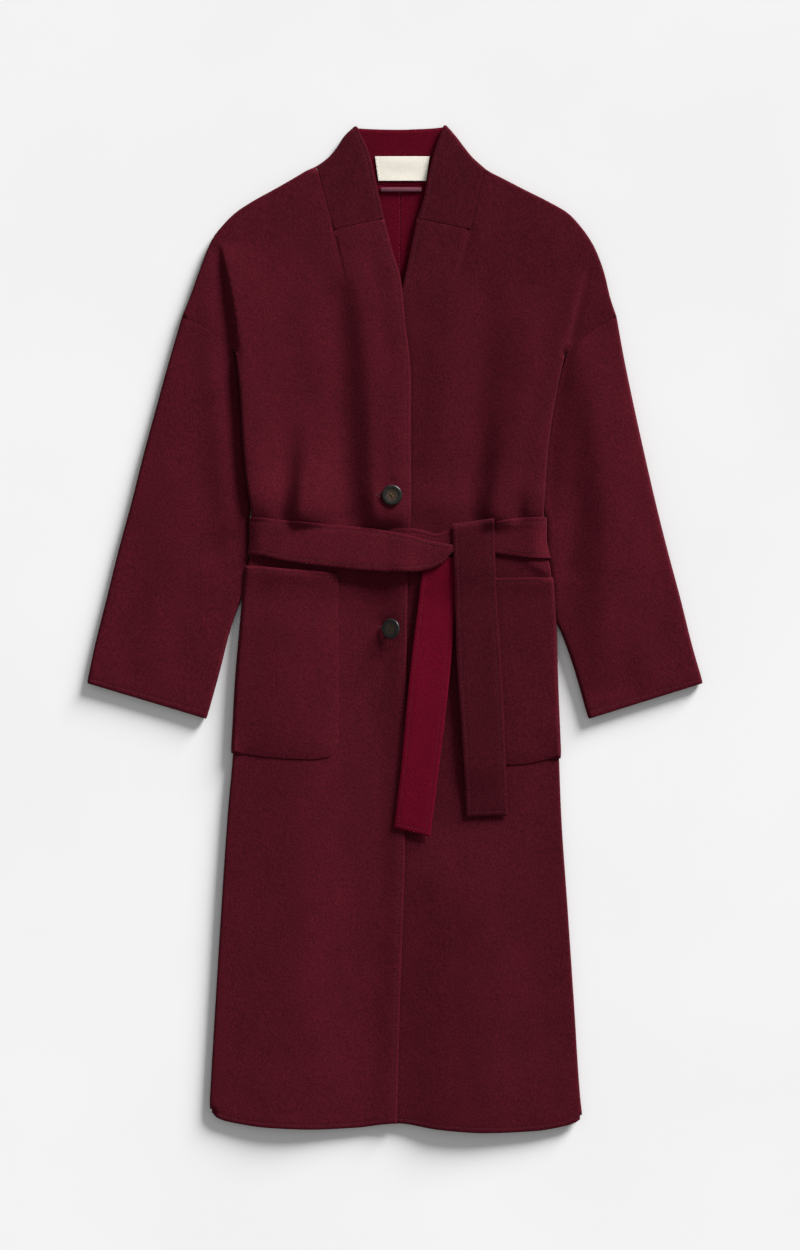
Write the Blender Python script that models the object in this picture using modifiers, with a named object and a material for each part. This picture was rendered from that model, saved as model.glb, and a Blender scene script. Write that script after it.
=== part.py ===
"""A belted coat in double-faced wool, laid flat on its back.

Tables and sizes are in millimetres, the model is in metres. x runs across to the viewer's right,
d runs down the coat from the top of the collar, and z is the height above the surface it lies on.
Right and left are the wearer's, so the right front is at negative x and laps over the left front.
"""
import math

import bmesh
import bpy
import numpy as np
from mathutils import Matrix, Vector
from mathutils.geometry import delaunay_2d_cdt

COAT = "belted_wool_coat"
MM = 0.001
LENGTH = 1179.0

# Cloth and the gaps between pieces
WALL = 2.4
SEAM = 0.3
LABEL_WALL = 1.0
LOOP_WALL = 1.2

# Rounded edges of the laid-out cloth
EDGE_ROLL = 3.2
SLEEVE_ROLL = 4.4
COLLAR_ROLL = 4.2
ROLL_ANGLES = (90.0, 50.0, 15.0, -20.0, -55.0, -90.0)
POCKET_ANGLES = (90.0, 50.0, 15.0, -20.0)
RETURN = 8.0
TUCK = 4.0

# Spacing of points on the panels, on their edges and on the folds
FRONT_PITCH = 30.0
BACK_PITCH = 60.0
EDGE_PITCH = 30.0
LONG_PITCH = 38.0
SIDE_PITCH = 33.0
SHOULDER_PITCH = 18.0
FOLD_PITCH = 26.0

# Lap of the right front over the left
LAP_STEP = WALL + SEAM + 0.5
LAP_RUN = 16.0

# Belt where it passes below the back
BELT_BACK_TOP = 460.0
BELT_BACK_BOTTOM = 509.0
BELT_MARGIN = 6.0
BELT_RAMP = 22.0

# Gap between the belt and the rolled side edge it goes round
BELT_GRIP = 1.6

# Sleeve seam on the front, bowed towards the shoulder, and the gap at it
ARMHOLE_BOW = 4.5
SLEEVE_GAP = 0.6

# Places down the coat: seam ends at the neck, foot of the V, sleeve seam, underarm and hem
NECK_SEAM_TOP = 60.5
NECK_SEAM_FOOT = 124.5
V_FOOT = 184.0
SLEEVE_SEAM_TOP = 226.5
SIDE_TOP = 276.0
HEM_AT_FRONT_EDGE = 1167.0
HEM_AT_CENTRE_BACK = 1168.0

# Share of the sleeve seam taken up by the rolled shoulder edge
SHOULDER_SHARE = 0.18

# Rows of points across a fold, in half widths
FOLD_FLANKS = (-1.3, 0.0, 1.3)

# Hem of the back, hidden behind the fronts, and the centre-back seam
BACK_HEM_SHORT = 4.0
BACK_SIDE_TOP = 266.0
BACK_SIDE_FOOT = 1150.0
BACK_SHOULDER_INSET = 5.4
CENTRE_BACK_TOP = 6.0
CENTRE_BACK_HEM = 0.6

# Pocket mouth standing off the front
POCKET_GAPE = {"right": 2.0, "left": 0.3}
POCKET_GAPE_RUN = 30.0

# Buttons
BUTTON_RADIUS = 12.0
BUTTON_SEGMENTS = 28


def columns(names, rows):
    """A table of rows, read by the name of the column."""
    return dict(zip(names.split(), np.array(rows, float).T))


# Height of the upper layer above the surface, down the coat
LOFT = columns("d height", [
    (0, 8.4), (110, 8.6), (220, 8.8), (400, 8.8), (454, 11.2), (515, 11.2), (560, 8.9),
    (900, 8.6), (1180, 8.4)])

# Shoulder edge of each side, from the neck to the sleeve seam
SHOULDER = columns("d right left", [
    (53, -96.0, 111.0), (63, -117.0, 125.0), (77, -140.5, 150.0), (91, -166.0, 178.0),
    (105, -187.0, 202.0), (119, -201.0, 215.5), (133, -212.0, 226.0), (147, -219.0, 234.0),
    (175, -229.5, 244.5), (204, -240.0, 251.5), (226.5, -249.0, 259.0)])

# Ends of the sleeve seam that show on the front
ARMHOLE = columns("right_x right_d left_x left_d", [
    (-249.0, 226.5, 259.0, 226.5), (-193.0, 263.5, 200.5, 270.0)])

# Side edge of the body below the sleeve seam
SIDE = columns("d right left", [
    (268, -186.5, 199.0), (316, -181.5, 188.5), (379, -177.5, 179.0), (427, -172.5, 175.5),
    (457, -167.5, 173.7), (487, -166.5, 173.5), (523, -173.0, 182.0), (586, -178.8, 186.2),
    (650, -184.3, 188.0), (737, -189.3, 191.5), (807, -195.4, 194.2), (919, -203.0, 201.8),
    (1032, -210.0, 209.4), (1144, -216.5, 217.0), (1160, -217.3, 219.5)])
SIDE_END = {"right": 1151.0, "left": 1158.0}

# Front edge of each side, from the collar seam down past the V to the hem
FRONT_EDGE = columns("d right left", [
    (111.5, -12.6, 25.7), (149, -2.8, 17.7), (184, 7.0, 10.3), (229, 11.7, -1.0),
    (300, 18.5, -15.0), (440, 18.7, -20.0), (528, 14.9, -22.0), (662, 12.9, -24.0),
    (840, 11.7, -26.0), (1039, 5.4, -31.0), (1167, 2.3, -35.0)])

# Neck seam of each side, from the shoulder down to the collar seam
NECK_SEAM = columns("d right left", [(55, -90.0, 105.5), (87, -81.6, 97.3), (125, -71.0, 87.8)])

# Hem, from side to side
HEM = columns("x d", [
    (-217, 1151), (-207, 1162), (-190, 1167), (-147, 1173), (-94, 1175), (-44, 1173), (2, 1168),
    (50, 1175), (106, 1179), (162, 1177), (199, 1171), (213, 1166), (220, 1159)])

# Back neck seam and how far the back lies inside the side edges; below zero it shows in the gap
BACK_NECK = columns("x d", [
    (-86, 57.5), (-58, 64.5), (-28, 70.5), (6, 73.0), (40, 70.5), (70, 65.0), (98, 58.5)])
BACK_INSET = columns("d right left", [
    (268, -1.0, 3.0), (300, -6.5, 3.0), (379, -9.5, 3.0), (420, -6.0, 3.0), (440, 4.0, 5.0),
    (454, 11.0, 11.0), (485, 11.0, 11.0), (515, 11.0, 11.0), (537, 4.0, 4.0), (1150, 3.0, 3.0)])

# Sleeves: their two edges, and where each row across meets them
SLEEVE_OUTER = columns("d right left", [
    (226.5, -249.0, 259.0), (274, -263.0, 267.5), (330, -278.5, 279.0), (386, -293.7, 291.3),
    (442, -307.7, 304.2), (498, -322.9, 318.2), (555, -337.0, 333.5), (611, -351.0, 347.5),
    (654, -360.0, 360.0)])
SLEEVE_INNER = columns("d right left", [
    (263.5, -193.0, 203.0), (275, -193.5, 199.5), (316, -190.7, 190.0), (379, -188.5, 180.5),
    (431, -181.0, 177.5), (450, -175.5, 178.5), (470, -172.0, 179.0), (490, -172.0, 180.0),
    (506, -173.5, 183.0), (522, -178.5, 187.5), (542, -183.0, 190.0), (585, -190.5, 194.0),
    (634, -203.0, 208.0), (696, -220.0, 225.8)])
SLEEVE_ROWS = columns("outer inner", [
    (226.5, 264.0), (270, 305), (320, 352), (370, 398), (410, 432), (445, 462), (475, 488),
    (505, 515), (540, 548), (580, 590), (615, 640), (654, 696)])
SLEEVE_ACROSS = 6
SLEEVE_CREASED_ROWS = 3

# Soft folds of the fronts: the line each runs along, its half width and its depth at both ends
FOLDS = {
    "right": columns("x0 d0 x1 d1 width depth0 depth1", [
        (-113.5, 358, -127.5, 455, 11, 0.8, 3.2),
        (-38.6, 288, -30.0, 462, 13, 0.2, 0.8),
        (2.0, 300, 2.0, 410, 12, -0.3, -1.8),
        (-78.0, 300, -76.0, 440, 24, -1.0, -5.0),
        (-152.0, 330, -150.0, 440, 14, -0.5, -3.5),
        (-72.0, 126, -55.0, 200, 9, 1.8, 0.4),
        (-203.0, 150, -189.5, 258, 9, 0.5, 3.4),
        (-224.0, 165, -212.0, 310, 12, -0.3, -3.5),
        (-170.0, 200, -168.0, 262, 12, -0.3, -3.0),
        (16.0, 545, 14.0, 690, 16, -2.5, -0.4)]),
    "left": columns("x0 d0 x1 d1 width depth0 depth1", [
        (128.7, 317, 104.0, 455, 14, 0.6, 3.0),
        (150.0, 440, 148.0, 458, 9, 0.8, 2.2),
        (160.0, 330, 152.0, 425, 16, -0.5, -3.0),
        (62.0, 330, 58.0, 440, 26, -0.8, -4.0),
        (88.0, 126, 66.7, 200, 9, 1.8, 0.4),
        (223.5, 175, 203.0, 262, 9, 0.5, 3.2),
        (197.0, 190, 184.0, 262, 10, -0.5, -4.0)])}

# Collar strip: top leaves from the front seams to the folds, then the back leaf between the folds
COLLAR_TOP_RIGHT = columns("neck_x neck_d free_x free_d", [
    (-70.4, 124.2, -12.4, 111.0), (-76.2, 103, -17.8, 88), (-81.4, 83, -23.2, 64),
    (-84.6, 66, -30.0, 35), (-86.0, 54.6, -43.2, 5.6)])
COLLAR_TOP_LEFT = columns("neck_x neck_d free_x free_d", [
    (87.2, 124.2, 25.5, 111.0), (92.8, 103, 33.5, 88), (97.8, 83, 38.0, 64),
    (100.8, 66, 45.0, 35), (98.2, 55.6, 54.7, 5.1)])
COLLAR_BACK = columns("neck_x neck_d free_x free_d", [
    (-86.0, 54.6, -43.2, 5.6), (-58, 63.6, -29, 6.2), (-28, 69.6, -13, 6.7), (6, 72.2, 6, 6.9),
    (40, 69.6, 25, 6.3), (70, 64.1, 40, 5.7), (98.2, 55.6, 54.7, 5.1)])
COLLAR_FOLD_OUT = {"right": (-0.753, 0.658), "left": (0.758, 0.653)}
COLLAR_ACROSS = 4

# Patch pockets: top edge, inner edge and bottom edge, in order from the side seam round
POCKET_TOP = {
    "right": columns("x d", [(-165.5, 517), (-127, 523), (-94, 525.5), (-75, 529), (-66, 536)]),
    "left": columns("x d", [(172.5, 530.5), (135, 531), (100, 532), (84, 533), (78, 538)])}
POCKET_BOTTOM = {
    "right": columns("x d", [(-180.3, 736), (-146, 740.5), (-100, 743), (-77, 740), (-66, 722)]),
    "left": columns("x d", [(182.6, 742), (150, 748.5), (110, 750), (86, 746), (78, 732)])}

# Belt stretches across the fronts: top and bottom edge and lift off the front
BELT_WAIST = {
    "right": columns("x top bottom lift", [
        (64, 490, 507, 4.2), (60, 488, 515.5, 4.2), (50, 485.5, 521.5, 4.2), (22, 480, 524, 4.2),
        (-15, 475, 523.8, 3.0), (-48, 471.5, 521.5, 1.4), (-80, 468.8, 518, 0.8),
        (-115, 465.5, 513.5, 0.8), (-140, 463, 509, 1.0), (-155.5, 461, 505, 1.4)]),
    "left": columns("x top bottom lift", [
        (76, 475, 502, 0.8), (100, 474, 502.5, 0.8), (113, 472.5, 503, 0.8), (119, 465.5, 503.5, 0.8),
        (145, 461.5, 507, 1.0), (162, 460.5, 508.5, 1.4)])}
BELT_KNOT = columns("x top bottom lift", [
    (8, 478.5, 494, 0.8), (34, 479, 496, 0.8), (58, 480.4, 498, 0.8), (65.5, 482, 497, 0.8)])
BELT_ACROSS = 4

# Hanging belt ends: both edges of each row and the lift off the front
TAIL_OVER = columns("left_x left_d right_x right_d lift", [
    (66.9, 468.2, 115.1, 461.9, 1.4), (67, 471.5, 115.5, 465.5, 4.2), (68, 505, 116.5, 503, 4.2),
    (69.5, 545, 117.7, 545, 4.6), (71.5, 621, 122.9, 621, 4.4), (76, 690, 126.5, 690, 4.2),
    (79.8, 747, 129, 747, 4.2), (81.5, 778, 130, 778, 2.4), (83, 810, 131.4, 808.5, 1.2)])
TAIL_UNDER = columns("left_x left_d right_x right_d lift", [
    (35, 507, 72, 507, 1.0), (31.6, 525, 74, 525, 1.0), (27, 562, 73, 564, 1.2),
    (19, 627, 68.5, 632, 1.2), (12.5, 690, 57.8, 697, 1.2), (8, 742, 51, 750, 1.2),
    (3.4, 782, 46.5, 791, 1.0), (-1.5, 822.5, 41, 833, 1.0)])

# Label and hanger loop inside the neck
LABEL_ROWS = columns("d left right", [(38.5, -23.5, 40.5), (67.0, -19.5, 36.5)])
LOOP_ROWS = columns("x rise", [(-17, 0.3), (-8, 1.4), (7, 2.0), (22, 1.4), (31, 0.3)])
LOOP_TOP = 75.0
LOOP_BOTTOM = 79.8

# Buttons on the right front: their place, lean to the viewer's left and height off the cloth
BUTTONS = columns("x d lean rise", [(-3.5, 435.0, 0.0, 0.8), (-4.0, 590.5, 38.0, -0.4)])

# Turned section of a button, from the middle of its back round to the middle of its face
BUTTON_SECTION = columns("radius height", [
    (0.0, 0.0), (9.5, 0.0), (11.6, 0.9), (12.0, 2.0), (11.4, 3.3), (10.0, 3.8), (8.2, 3.3),
    (6.5, 2.7), (0.0, 2.5)])

WOOL = (0.075, 0.006, 0.013, 1.0)
WOOL_REVERSE = (0.15, 0.004, 0.02, 1.0)
HORN = (0.02, 0.014, 0.011, 1.0)
LABEL_CLOTH = (0.82, 0.78, 0.68, 1.0)
LOOP_TAPE = (0.16, 0.03, 0.05, 1.0)


def ramp(share):
    """Soft step from 0 to 1."""
    share = np.clip(share, 0.0, 1.0)
    return share * share * (3.0 - 2.0 * share)


def curve(at, stations, values):
    """Smooth curve through a table's values that never overshoots, held level beyond its ends."""
    at = np.clip(at, stations[0], stations[-1])
    rates = np.diff(values) / np.diff(stations)
    before, after = rates[:-1], rates[1:]
    inner = np.where(before * after > 0, 2 * before * after / np.where(before + after, before + after, 1), 0)
    slopes = np.concatenate((rates[:1], inner, rates[-1:]))
    low = np.clip(np.searchsorted(stations, at) - 1, 0, len(stations) - 2)
    step = stations[low + 1] - stations[low]
    share = (at - stations[low]) / step
    rest = 1.0 - share
    return (values[low] * (1 + 2 * share) * rest ** 2 + slopes[low] * step * share * rest ** 2
            + values[low + 1] * (3 - 2 * share) * share ** 2
            - slopes[low + 1] * step * rest * share ** 2)


def read(table, at, column, by="d"):
    return curve(at, table[by], table[column])


def stations(start, end, pitch, through=()):
    """Even stops from start to end that also stop at the given places."""
    stops = [start] + [stop for stop in through if start + 1 < stop < end - 1] + [end]
    parts = [np.linspace(low, high, max(1, round((high - low) / pitch)) + 1)[:-1]
             for low, high in zip(stops, stops[1:])]
    return np.append(np.concatenate(parts), end)


BELT_STOPS = (BELT_BACK_TOP - BELT_MARGIN - BELT_RAMP, BELT_BACK_TOP - BELT_MARGIN,
              BELT_BACK_BOTTOM + BELT_MARGIN, BELT_BACK_BOTTOM + BELT_MARGIN + BELT_RAMP)
WAIST_STOPS = (470.0, 485.0, 500.0)
SIDE_STOPS = {side: stations(SIDE_TOP, end, SIDE_PITCH, sorted(BELT_STOPS + WAIST_STOPS))
              for side, end in SIDE_END.items()}


def back_lift(d):
    """Height of the back where it passes over the belt below it."""
    into = (d - BELT_STOPS[0]) / BELT_RAMP
    out = (BELT_STOPS[3] - d) / BELT_RAMP
    return (WALL + SEAM) * np.clip(into, 0.0, 1.0) * np.clip(out, 0.0, 1.0)


def fold_depth(side, x, d):
    """Depth of all the folds of one front at a point."""
    total = np.zeros(np.shape(x))
    table = FOLDS[side]
    for x0, d0, x1, d1, width, depth0, depth1 in zip(*table.values()):
        along = np.array((x1 - x0, d1 - d0))
        share = np.clip(((x - x0) * along[0] + (d - d0) * along[1]) / along.dot(along), 0.0, 1.0)
        away = np.hypot(x - x0 - share * along[0], d - d0 - share * along[1])
        total = total + (depth0 + (depth1 - depth0) * share) * np.exp(-(away / width) ** 2)
    return total


def loft(d):
    return read(LOFT, d, "height")


def front_height(side, x, d):
    """Outer face of a front; the left one lies lower under the lap of the right one."""
    height = loft(d) - fold_depth(side, x, d)
    if side == "left":
        inside = read(FRONT_EDGE, d, "right") - x
        height = height - LAP_STEP * ramp(inside / LAP_RUN + 1.0)
    return height


def cover_height(side, x, d):
    """What a belt lies on: the front with its folds bridged."""
    return np.maximum(loft(d), front_height(side, x, d))


def inside_loop(points, loop):
    """Whether each point lies inside a closed loop."""
    found = np.zeros(len(points), bool)
    for (ax, ay), (bx, by) in zip(loop, np.roll(loop, -1, axis=0)):
        if ay != by:
            crosses = (points[:, 1] < ay) != (points[:, 1] < by)
            found ^= crosses & (points[:, 0] < ax + (points[:, 1] - ay) * (bx - ax) / (by - ay))
    return found


def clear_of(points, others, distance):
    """Whether each point keeps a distance from all the others."""
    if len(others) == 0:
        return np.ones(len(points), bool)
    gaps = points[:, None, :] - np.asarray(others)[None, :, :]
    return np.min(np.hypot(gaps[..., 0], gaps[..., 1]), axis=1) > distance


def spread(line, pitch):
    """Points along a line at an even pitch."""
    run = np.append(0.0, np.cumsum(np.hypot(*np.diff(line, axis=0).T)))
    at = np.linspace(0.0, run[-1], max(1, round(run[-1] / pitch)) + 1)
    return np.column_stack((np.interp(at, run, line[:, 0]), np.interp(at, run, line[:, 1])))


def add_object(name, vertices, faces, color, wall=0.0, roughness=0.9):
    """A named piece in the coat's collection; an open surface gets its wall from Solidify."""
    points = np.asarray(vertices, float)
    model = np.column_stack((points[:, 0], LENGTH / 2 - points[:, 1], points[:, 2])) * MM
    mesh = bpy.data.meshes.new(name)
    mesh.from_pydata([tuple(point) for point in model], [], faces)
    mesh.validate()
    piece = bpy.data.objects.new(name, mesh)
    collection.objects.link(piece)
    material = bpy.data.materials.new(name + "_material")
    material.use_nodes = True
    shader = material.node_tree.nodes["Principled BSDF"]
    shader.inputs["Base Color"].default_value = color
    shader.inputs["Roughness"].default_value = roughness
    shader.inputs["Metallic"].default_value = 0.0
    mesh.materials.append(material)
    if wall:
        shell = piece.modifiers.new("wall", "SOLIDIFY")
        shell.thickness = wall * MM
        shell.offset = -1.0
        shell.use_even_offset = True
        shell.use_quality_normals = True
    return piece


def panel(name, edges, height, pitch, color=WOOL, lines=(), out=0.0, base=None, angles=ROLL_ANGLES):
    """Cloth cut to an outline, run anticlockwise, with its rolled edges turned under."""
    loop, rolls = [], []
    for points, roll in edges:
        plan = np.array(points, float) * (1, -1)
        outward = None
        if roll:
            run = np.gradient(plan, axis=0)
            run /= np.linalg.norm(run, axis=1)[:, None]
            outward = np.column_stack((run[:, 1], -run[:, 0]))
            plan = plan - roll * outward
        elif loop and np.hypot(*(plan[0] - loop[-1])) < SEAM:
            plan = plan[1:]
        if roll:
            rolls.append((len(loop), plan, outward, roll))
        loop.extend(plan)
    if np.hypot(*(loop[0] - loop[-1])) < SEAM:
        loop.pop()
    loop = np.array(loop)
    rim = spread(np.vstack((loop, loop[:1])), pitch / 4)
    links = [(index, (index + 1) % len(loop)) for index in range(len(loop))]
    marks = np.zeros((0, 2))
    for line in lines:
        plan = line * (1, -1)
        plan = plan[inside_loop(plan, loop) & clear_of(plan, rim, pitch * 0.25)]
        plan = plan[clear_of(plan, marks, pitch * 0.25)]
        start = len(loop) + len(marks)
        links += [(start + index, start + index + 1) for index in range(len(plan) - 1)]
        marks = np.vstack((marks, plan))
    low, high = loop.min(axis=0), loop.max(axis=0)
    across, down = np.meshgrid(np.arange(low[0], high[0], pitch),
                               np.arange(low[1], high[1], pitch * math.sqrt(0.75)))
    across[1::2] += pitch / 2
    lattice = np.column_stack((across.ravel(), down.ravel()))
    lattice = lattice[inside_loop(lattice, loop) & clear_of(lattice, rim, pitch * 0.55)]
    lattice = lattice[clear_of(lattice, marks, pitch * 0.5)]
    flat = np.vstack((loop, marks, lattice))
    result = delaunay_2d_cdt([Vector(point) for point in flat], links, [], 1, 1e-4)
    flat = np.array([tuple(point) for point in result[0]])
    faces = [tuple(face) for face in result[2]]
    vertices = [(x, -y, z) for (x, y), z in zip(flat, height(flat[:, 0], -flat[:, 1]) + out)]
    for first, plan, outward, roll in rolls:
        top = height(plan[:, 0], -plan[:, 1])
        floor = base(-plan[:, 1])
        before = np.arange(first, first + len(plan))
        stops = [(math.radians(angle), 0.0) for angle in angles[1:]]
        if angles[-1] == -90.0:
            stops.append((math.radians(-90.0), RETURN))
        for angle, tuck in stops:
            ring = plan + outward * ((roll + out) * math.cos(angle) - tuck)
            rise = (top + floor) / 2 + ((top - floor) / 2 + out) * math.sin(angle)
            after = np.arange(len(vertices), len(vertices) + len(ring))
            vertices.extend((x, -y, z) for (x, y), z in zip(ring, rise))
            faces.extend((before[i + 1], before[i], after[i], after[i + 1]) for i in range(len(ring) - 1))
            before = after
    return add_object(name, vertices, [tuple(int(i) for i in face) for face in faces], color, WALL)


def sheet(name, rows, color=WOOL, wall=WALL, up=True):
    """Cloth through rows of points; its first face looks up, or down."""
    rows = np.asarray(rows, float)
    count, across = rows.shape[:2]
    one, two, three = rows[0, 0], rows[0, 1], rows[1, 0]
    turns = (two[0] - one[0]) * (three[1] - one[1]) - (two[1] - one[1]) * (three[0] - one[0])
    flip = (turns < 0) != up
    faces = []
    for i in range(count - 1):
        for j in range(across - 1):
            face = (i * across + j, i * across + j + 1, (i + 1) * across + j + 1, (i + 1) * across + j)
            faces.append(face[::-1] if flip else face)
    return add_object(name, rows.reshape(-1, 3), faces, color, wall)


def armhole_line(side, shares):
    """Sleeve seam across the top of the sleeve, from the shoulder edge to the underarm."""
    x = np.interp(shares, (0, 1), ARMHOLE[side + "_x"])
    d = np.interp(shares, (0, 1), ARMHOLE[side + "_d"]) - ARMHOLE_BOW * np.sin(math.pi * shares)
    return np.column_stack((x, d))


def edge_line(table, side, stops):
    return np.column_stack((read(table, stops, side), stops))


def hem_line(start, end, short=0.0):
    x = stations(start, end, EDGE_PITCH) if start < end else stations(end, start, EDGE_PITCH)[::-1]
    return np.column_stack((x, read(HEM, x, "d", "x") - short))


def fold_lines(side):
    """Points along each fold and down both its flanks, and down both sides of the lap's step."""
    found = []
    if side == "left":
        stops = stations(V_FOOT, HEM_AT_FRONT_EDGE, LONG_PITCH)
        found = [edge_line(FRONT_EDGE, "right", stops) + (off, 0) for off in (0.0, LAP_RUN)]
    for x0, d0, x1, d1, width, _, _ in zip(*FOLDS[side].values()):
        ends = np.array(((x0, d0), (x1, d1)))
        across = np.array((d0 - d1, x1 - x0)) / math.hypot(x1 - x0, d1 - d0)
        found += [spread(ends + across * width * flank, FOLD_PITCH) for flank in FOLD_FLANKS]
    return found


def front(side):
    """A front with its lower collar band, rolled at the shoulder and the side."""
    sign = -1 if side == "right" else 1
    edge_stops = stations(FRONT_EDGE["d"][0], HEM_AT_FRONT_EDGE, LONG_PITCH, (V_FOOT,))
    neck_stops = stations(NECK_SEAM_TOP, NECK_SEAM_FOOT, EDGE_PITCH)
    shoulder_stops = stations(SHOULDER["d"][0], SLEEVE_SEAM_TOP, SHOULDER_PITCH)
    seam = np.vstack((edge_line(FRONT_EDGE, side, edge_stops[:1]),
                      edge_line(NECK_SEAM, side, neck_stops[-1:])))
    hem_out = read(SIDE, SIDE_END[side], side) - sign * EDGE_ROLL
    edges = [
        (hem_line(hem_out, FRONT_EDGE[side][-1]), 0),
        (edge_line(FRONT_EDGE, side, edge_stops)[::-1], 0),
        (spread(seam, EDGE_PITCH), 0),
        (edge_line(NECK_SEAM, side, neck_stops)[::-1], 0),
        (edge_line(SHOULDER, side, shoulder_stops), EDGE_ROLL),
        (armhole_line(side, np.linspace(SHOULDER_SHARE, 1.0, 7)), 0),
        (edge_line(SIDE, side, SIDE_STOPS[side]), EDGE_ROLL)]
    if side == "left":
        edges = [(points[::-1], roll) for points, roll in edges[::-1]]
    panel("front_" + side, edges, lambda x, d: front_height(side, x, d), FRONT_PITCH,
          lines=fold_lines(side), base=lambda d: back_lift(d) + WALL + SEAM)


def centre_back(d):
    return np.interp(d, (BACK_NECK["d"].max(), HEM_AT_CENTRE_BACK), (CENTRE_BACK_TOP, CENTRE_BACK_HEM))


def back(side):
    """Half of the back, flat on the surface but for the rise over the belt."""
    sign = -1 if side == "right" else 1
    half_seam = sign * SEAM / 2
    side_stops = stations(BACK_SIDE_TOP, BACK_SIDE_FOOT, BACK_PITCH, sorted(BELT_STOPS + WAIST_STOPS))
    side_x = read(SIDE, side_stops, side) - sign * read(BACK_INSET, side_stops, side)
    shoulder_stops = stations(NECK_SEAM_TOP, SLEEVE_SEAM_TOP - 2.0, EDGE_PITCH)
    shoulder_x = read(SHOULDER, shoulder_stops, side) - sign * BACK_SHOULDER_INSET
    neck_ends = (BACK_NECK["x"][0 if sign < 0 else -1], CENTRE_BACK_TOP + half_seam)
    neck_x = stations(min(neck_ends), max(neck_ends), EDGE_PITCH)
    neck = np.column_stack((neck_x, read(BACK_NECK, neck_x, "d", "x") + SEAM))
    hem_end = HEM_AT_CENTRE_BACK - BACK_HEM_SHORT
    centre_stops = stations(neck[-1 if sign < 0 else 0, 1], hem_end, BACK_PITCH, BELT_STOPS)
    armhole = armhole_line(side, np.linspace(SHOULDER_SHARE / 2, 0.9, 4)) - (0, 2 * SEAM)
    edges = [
        (hem_line(side_x[-1], centre_back(HEM_AT_CENTRE_BACK) + half_seam, BACK_HEM_SHORT), 0),
        (np.column_stack((centre_back(centre_stops) + half_seam, centre_stops))[::-1], 0),
        (neck[::-1] if sign < 0 else neck, 0),
        (np.column_stack((shoulder_x, shoulder_stops)), 0),
        (armhole, 0),
        (np.column_stack((side_x, side_stops)), 0)]
    if side == "left":
        edges = [(points[::-1], roll) for points, roll in edges[::-1]]
    across = np.linspace(SIDE[side][0], half_seam, 8)
    lines = [np.column_stack((across, np.full(len(across), stop))) for stop in BELT_STOPS]
    panel("back_" + side, edges, lambda x, d: back_lift(d) + WALL, BACK_PITCH, lines=lines)


def sleeve(side):
    """A flattened tube from the sleeve seam to the cuff, with its seam under the inner edge."""
    rows = []
    rise = np.radians(ROLL_ANGLES)
    for index, (outer_d, inner_d) in enumerate(zip(*SLEEVE_ROWS.values())):
        outer = np.array((read(SLEEVE_OUTER, outer_d, side), outer_d))
        inner = np.array((read(SLEEVE_INNER, inner_d, side), inner_d))
        if index == 0:
            outer, inner = armhole_line(side, np.array((0.0, 1.0))) + (0, SLEEVE_GAP)
        width = np.linalg.norm(outer - inner)
        top = np.linspace(SLEEVE_ROLL, width - SLEEVE_ROLL, SLEEVE_ACROSS + 1)
        up = np.column_stack((SLEEVE_ROLL * (1 - np.cos(rise[::-1])), (1 + np.sin(rise[::-1])) / 2))
        down = np.column_stack((width - SLEEVE_ROLL * (1 - np.cos(rise)), (1 + np.sin(rise)) / 2))
        over = np.column_stack((top[1:-1], np.ones(SLEEVE_ACROSS - 1)))
        tuck = SLEEVE_ROLL + TUCK
        low = np.linspace(top[-2], tuck + SEAM, SLEEVE_ACROSS)
        under = np.column_stack((low, np.zeros(SLEEVE_ACROSS)))
        section = np.vstack(((tuck, 0.0), up, over, down, under))
        plan = inner + (outer - inner) * (section[:, :1] / width)
        plan[:, 1] -= (ARMHOLE_BOW * max(0.0, 1.0 - index / SLEEVE_CREASED_ROWS)
                       * np.sin(math.pi * np.clip(section[:, 0] / width, 0, 1)))
        crown = loft(plan[:, 1])
        if index < SLEEVE_CREASED_ROWS:
            crown = crown - fold_depth(side, plan[:, 0], plan[:, 1])
        rows.append(np.column_stack((plan, section[:, 1] * crown)))
    sheet("sleeve_" + side, rows, up=False)


def collar():
    """One strip round the neck: a leaf over each front, the folds and the leaf below at the back."""
    share = np.linspace(0.0, 1.0, COLLAR_ACROSS + 1)

    def leaf(table, height):
        rows = []
        for neck_x, neck_d, free_x, free_d in zip(*table.values()):
            x = neck_x + (free_x - neck_x) * share
            d = neck_d + (free_d - neck_d) * share
            rows.append(np.column_stack((x, d, np.full(len(x), 0.0) + height(x, d))))
        return rows

    def fold(line, side, angles):
        out = COLLAR_FOLD_OUT[side]
        rows = []
        for angle in np.radians(angles):
            x = line[:, 0] + out[0] * COLLAR_ROLL * math.cos(angle)
            d = line[:, 1] - out[1] * COLLAR_ROLL * math.cos(angle)
            rows.append(np.column_stack((x, d, line[:, 2] * (1 + math.sin(angle)) / 2)))
        return rows

    right = leaf(COLLAR_TOP_RIGHT, lambda x, d: front_height("right", x, d))
    left = leaf(COLLAR_TOP_LEFT, lambda x, d: front_height("left", x, d))
    below = leaf(COLLAR_BACK, lambda x, d: 0.0)
    turn = ROLL_ANGLES[1:-1]
    sheet("collar", right + fold(right[-1], "right", turn) + below
          + fold(left[-1], "left", turn[::-1]) + left[::-1])


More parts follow.
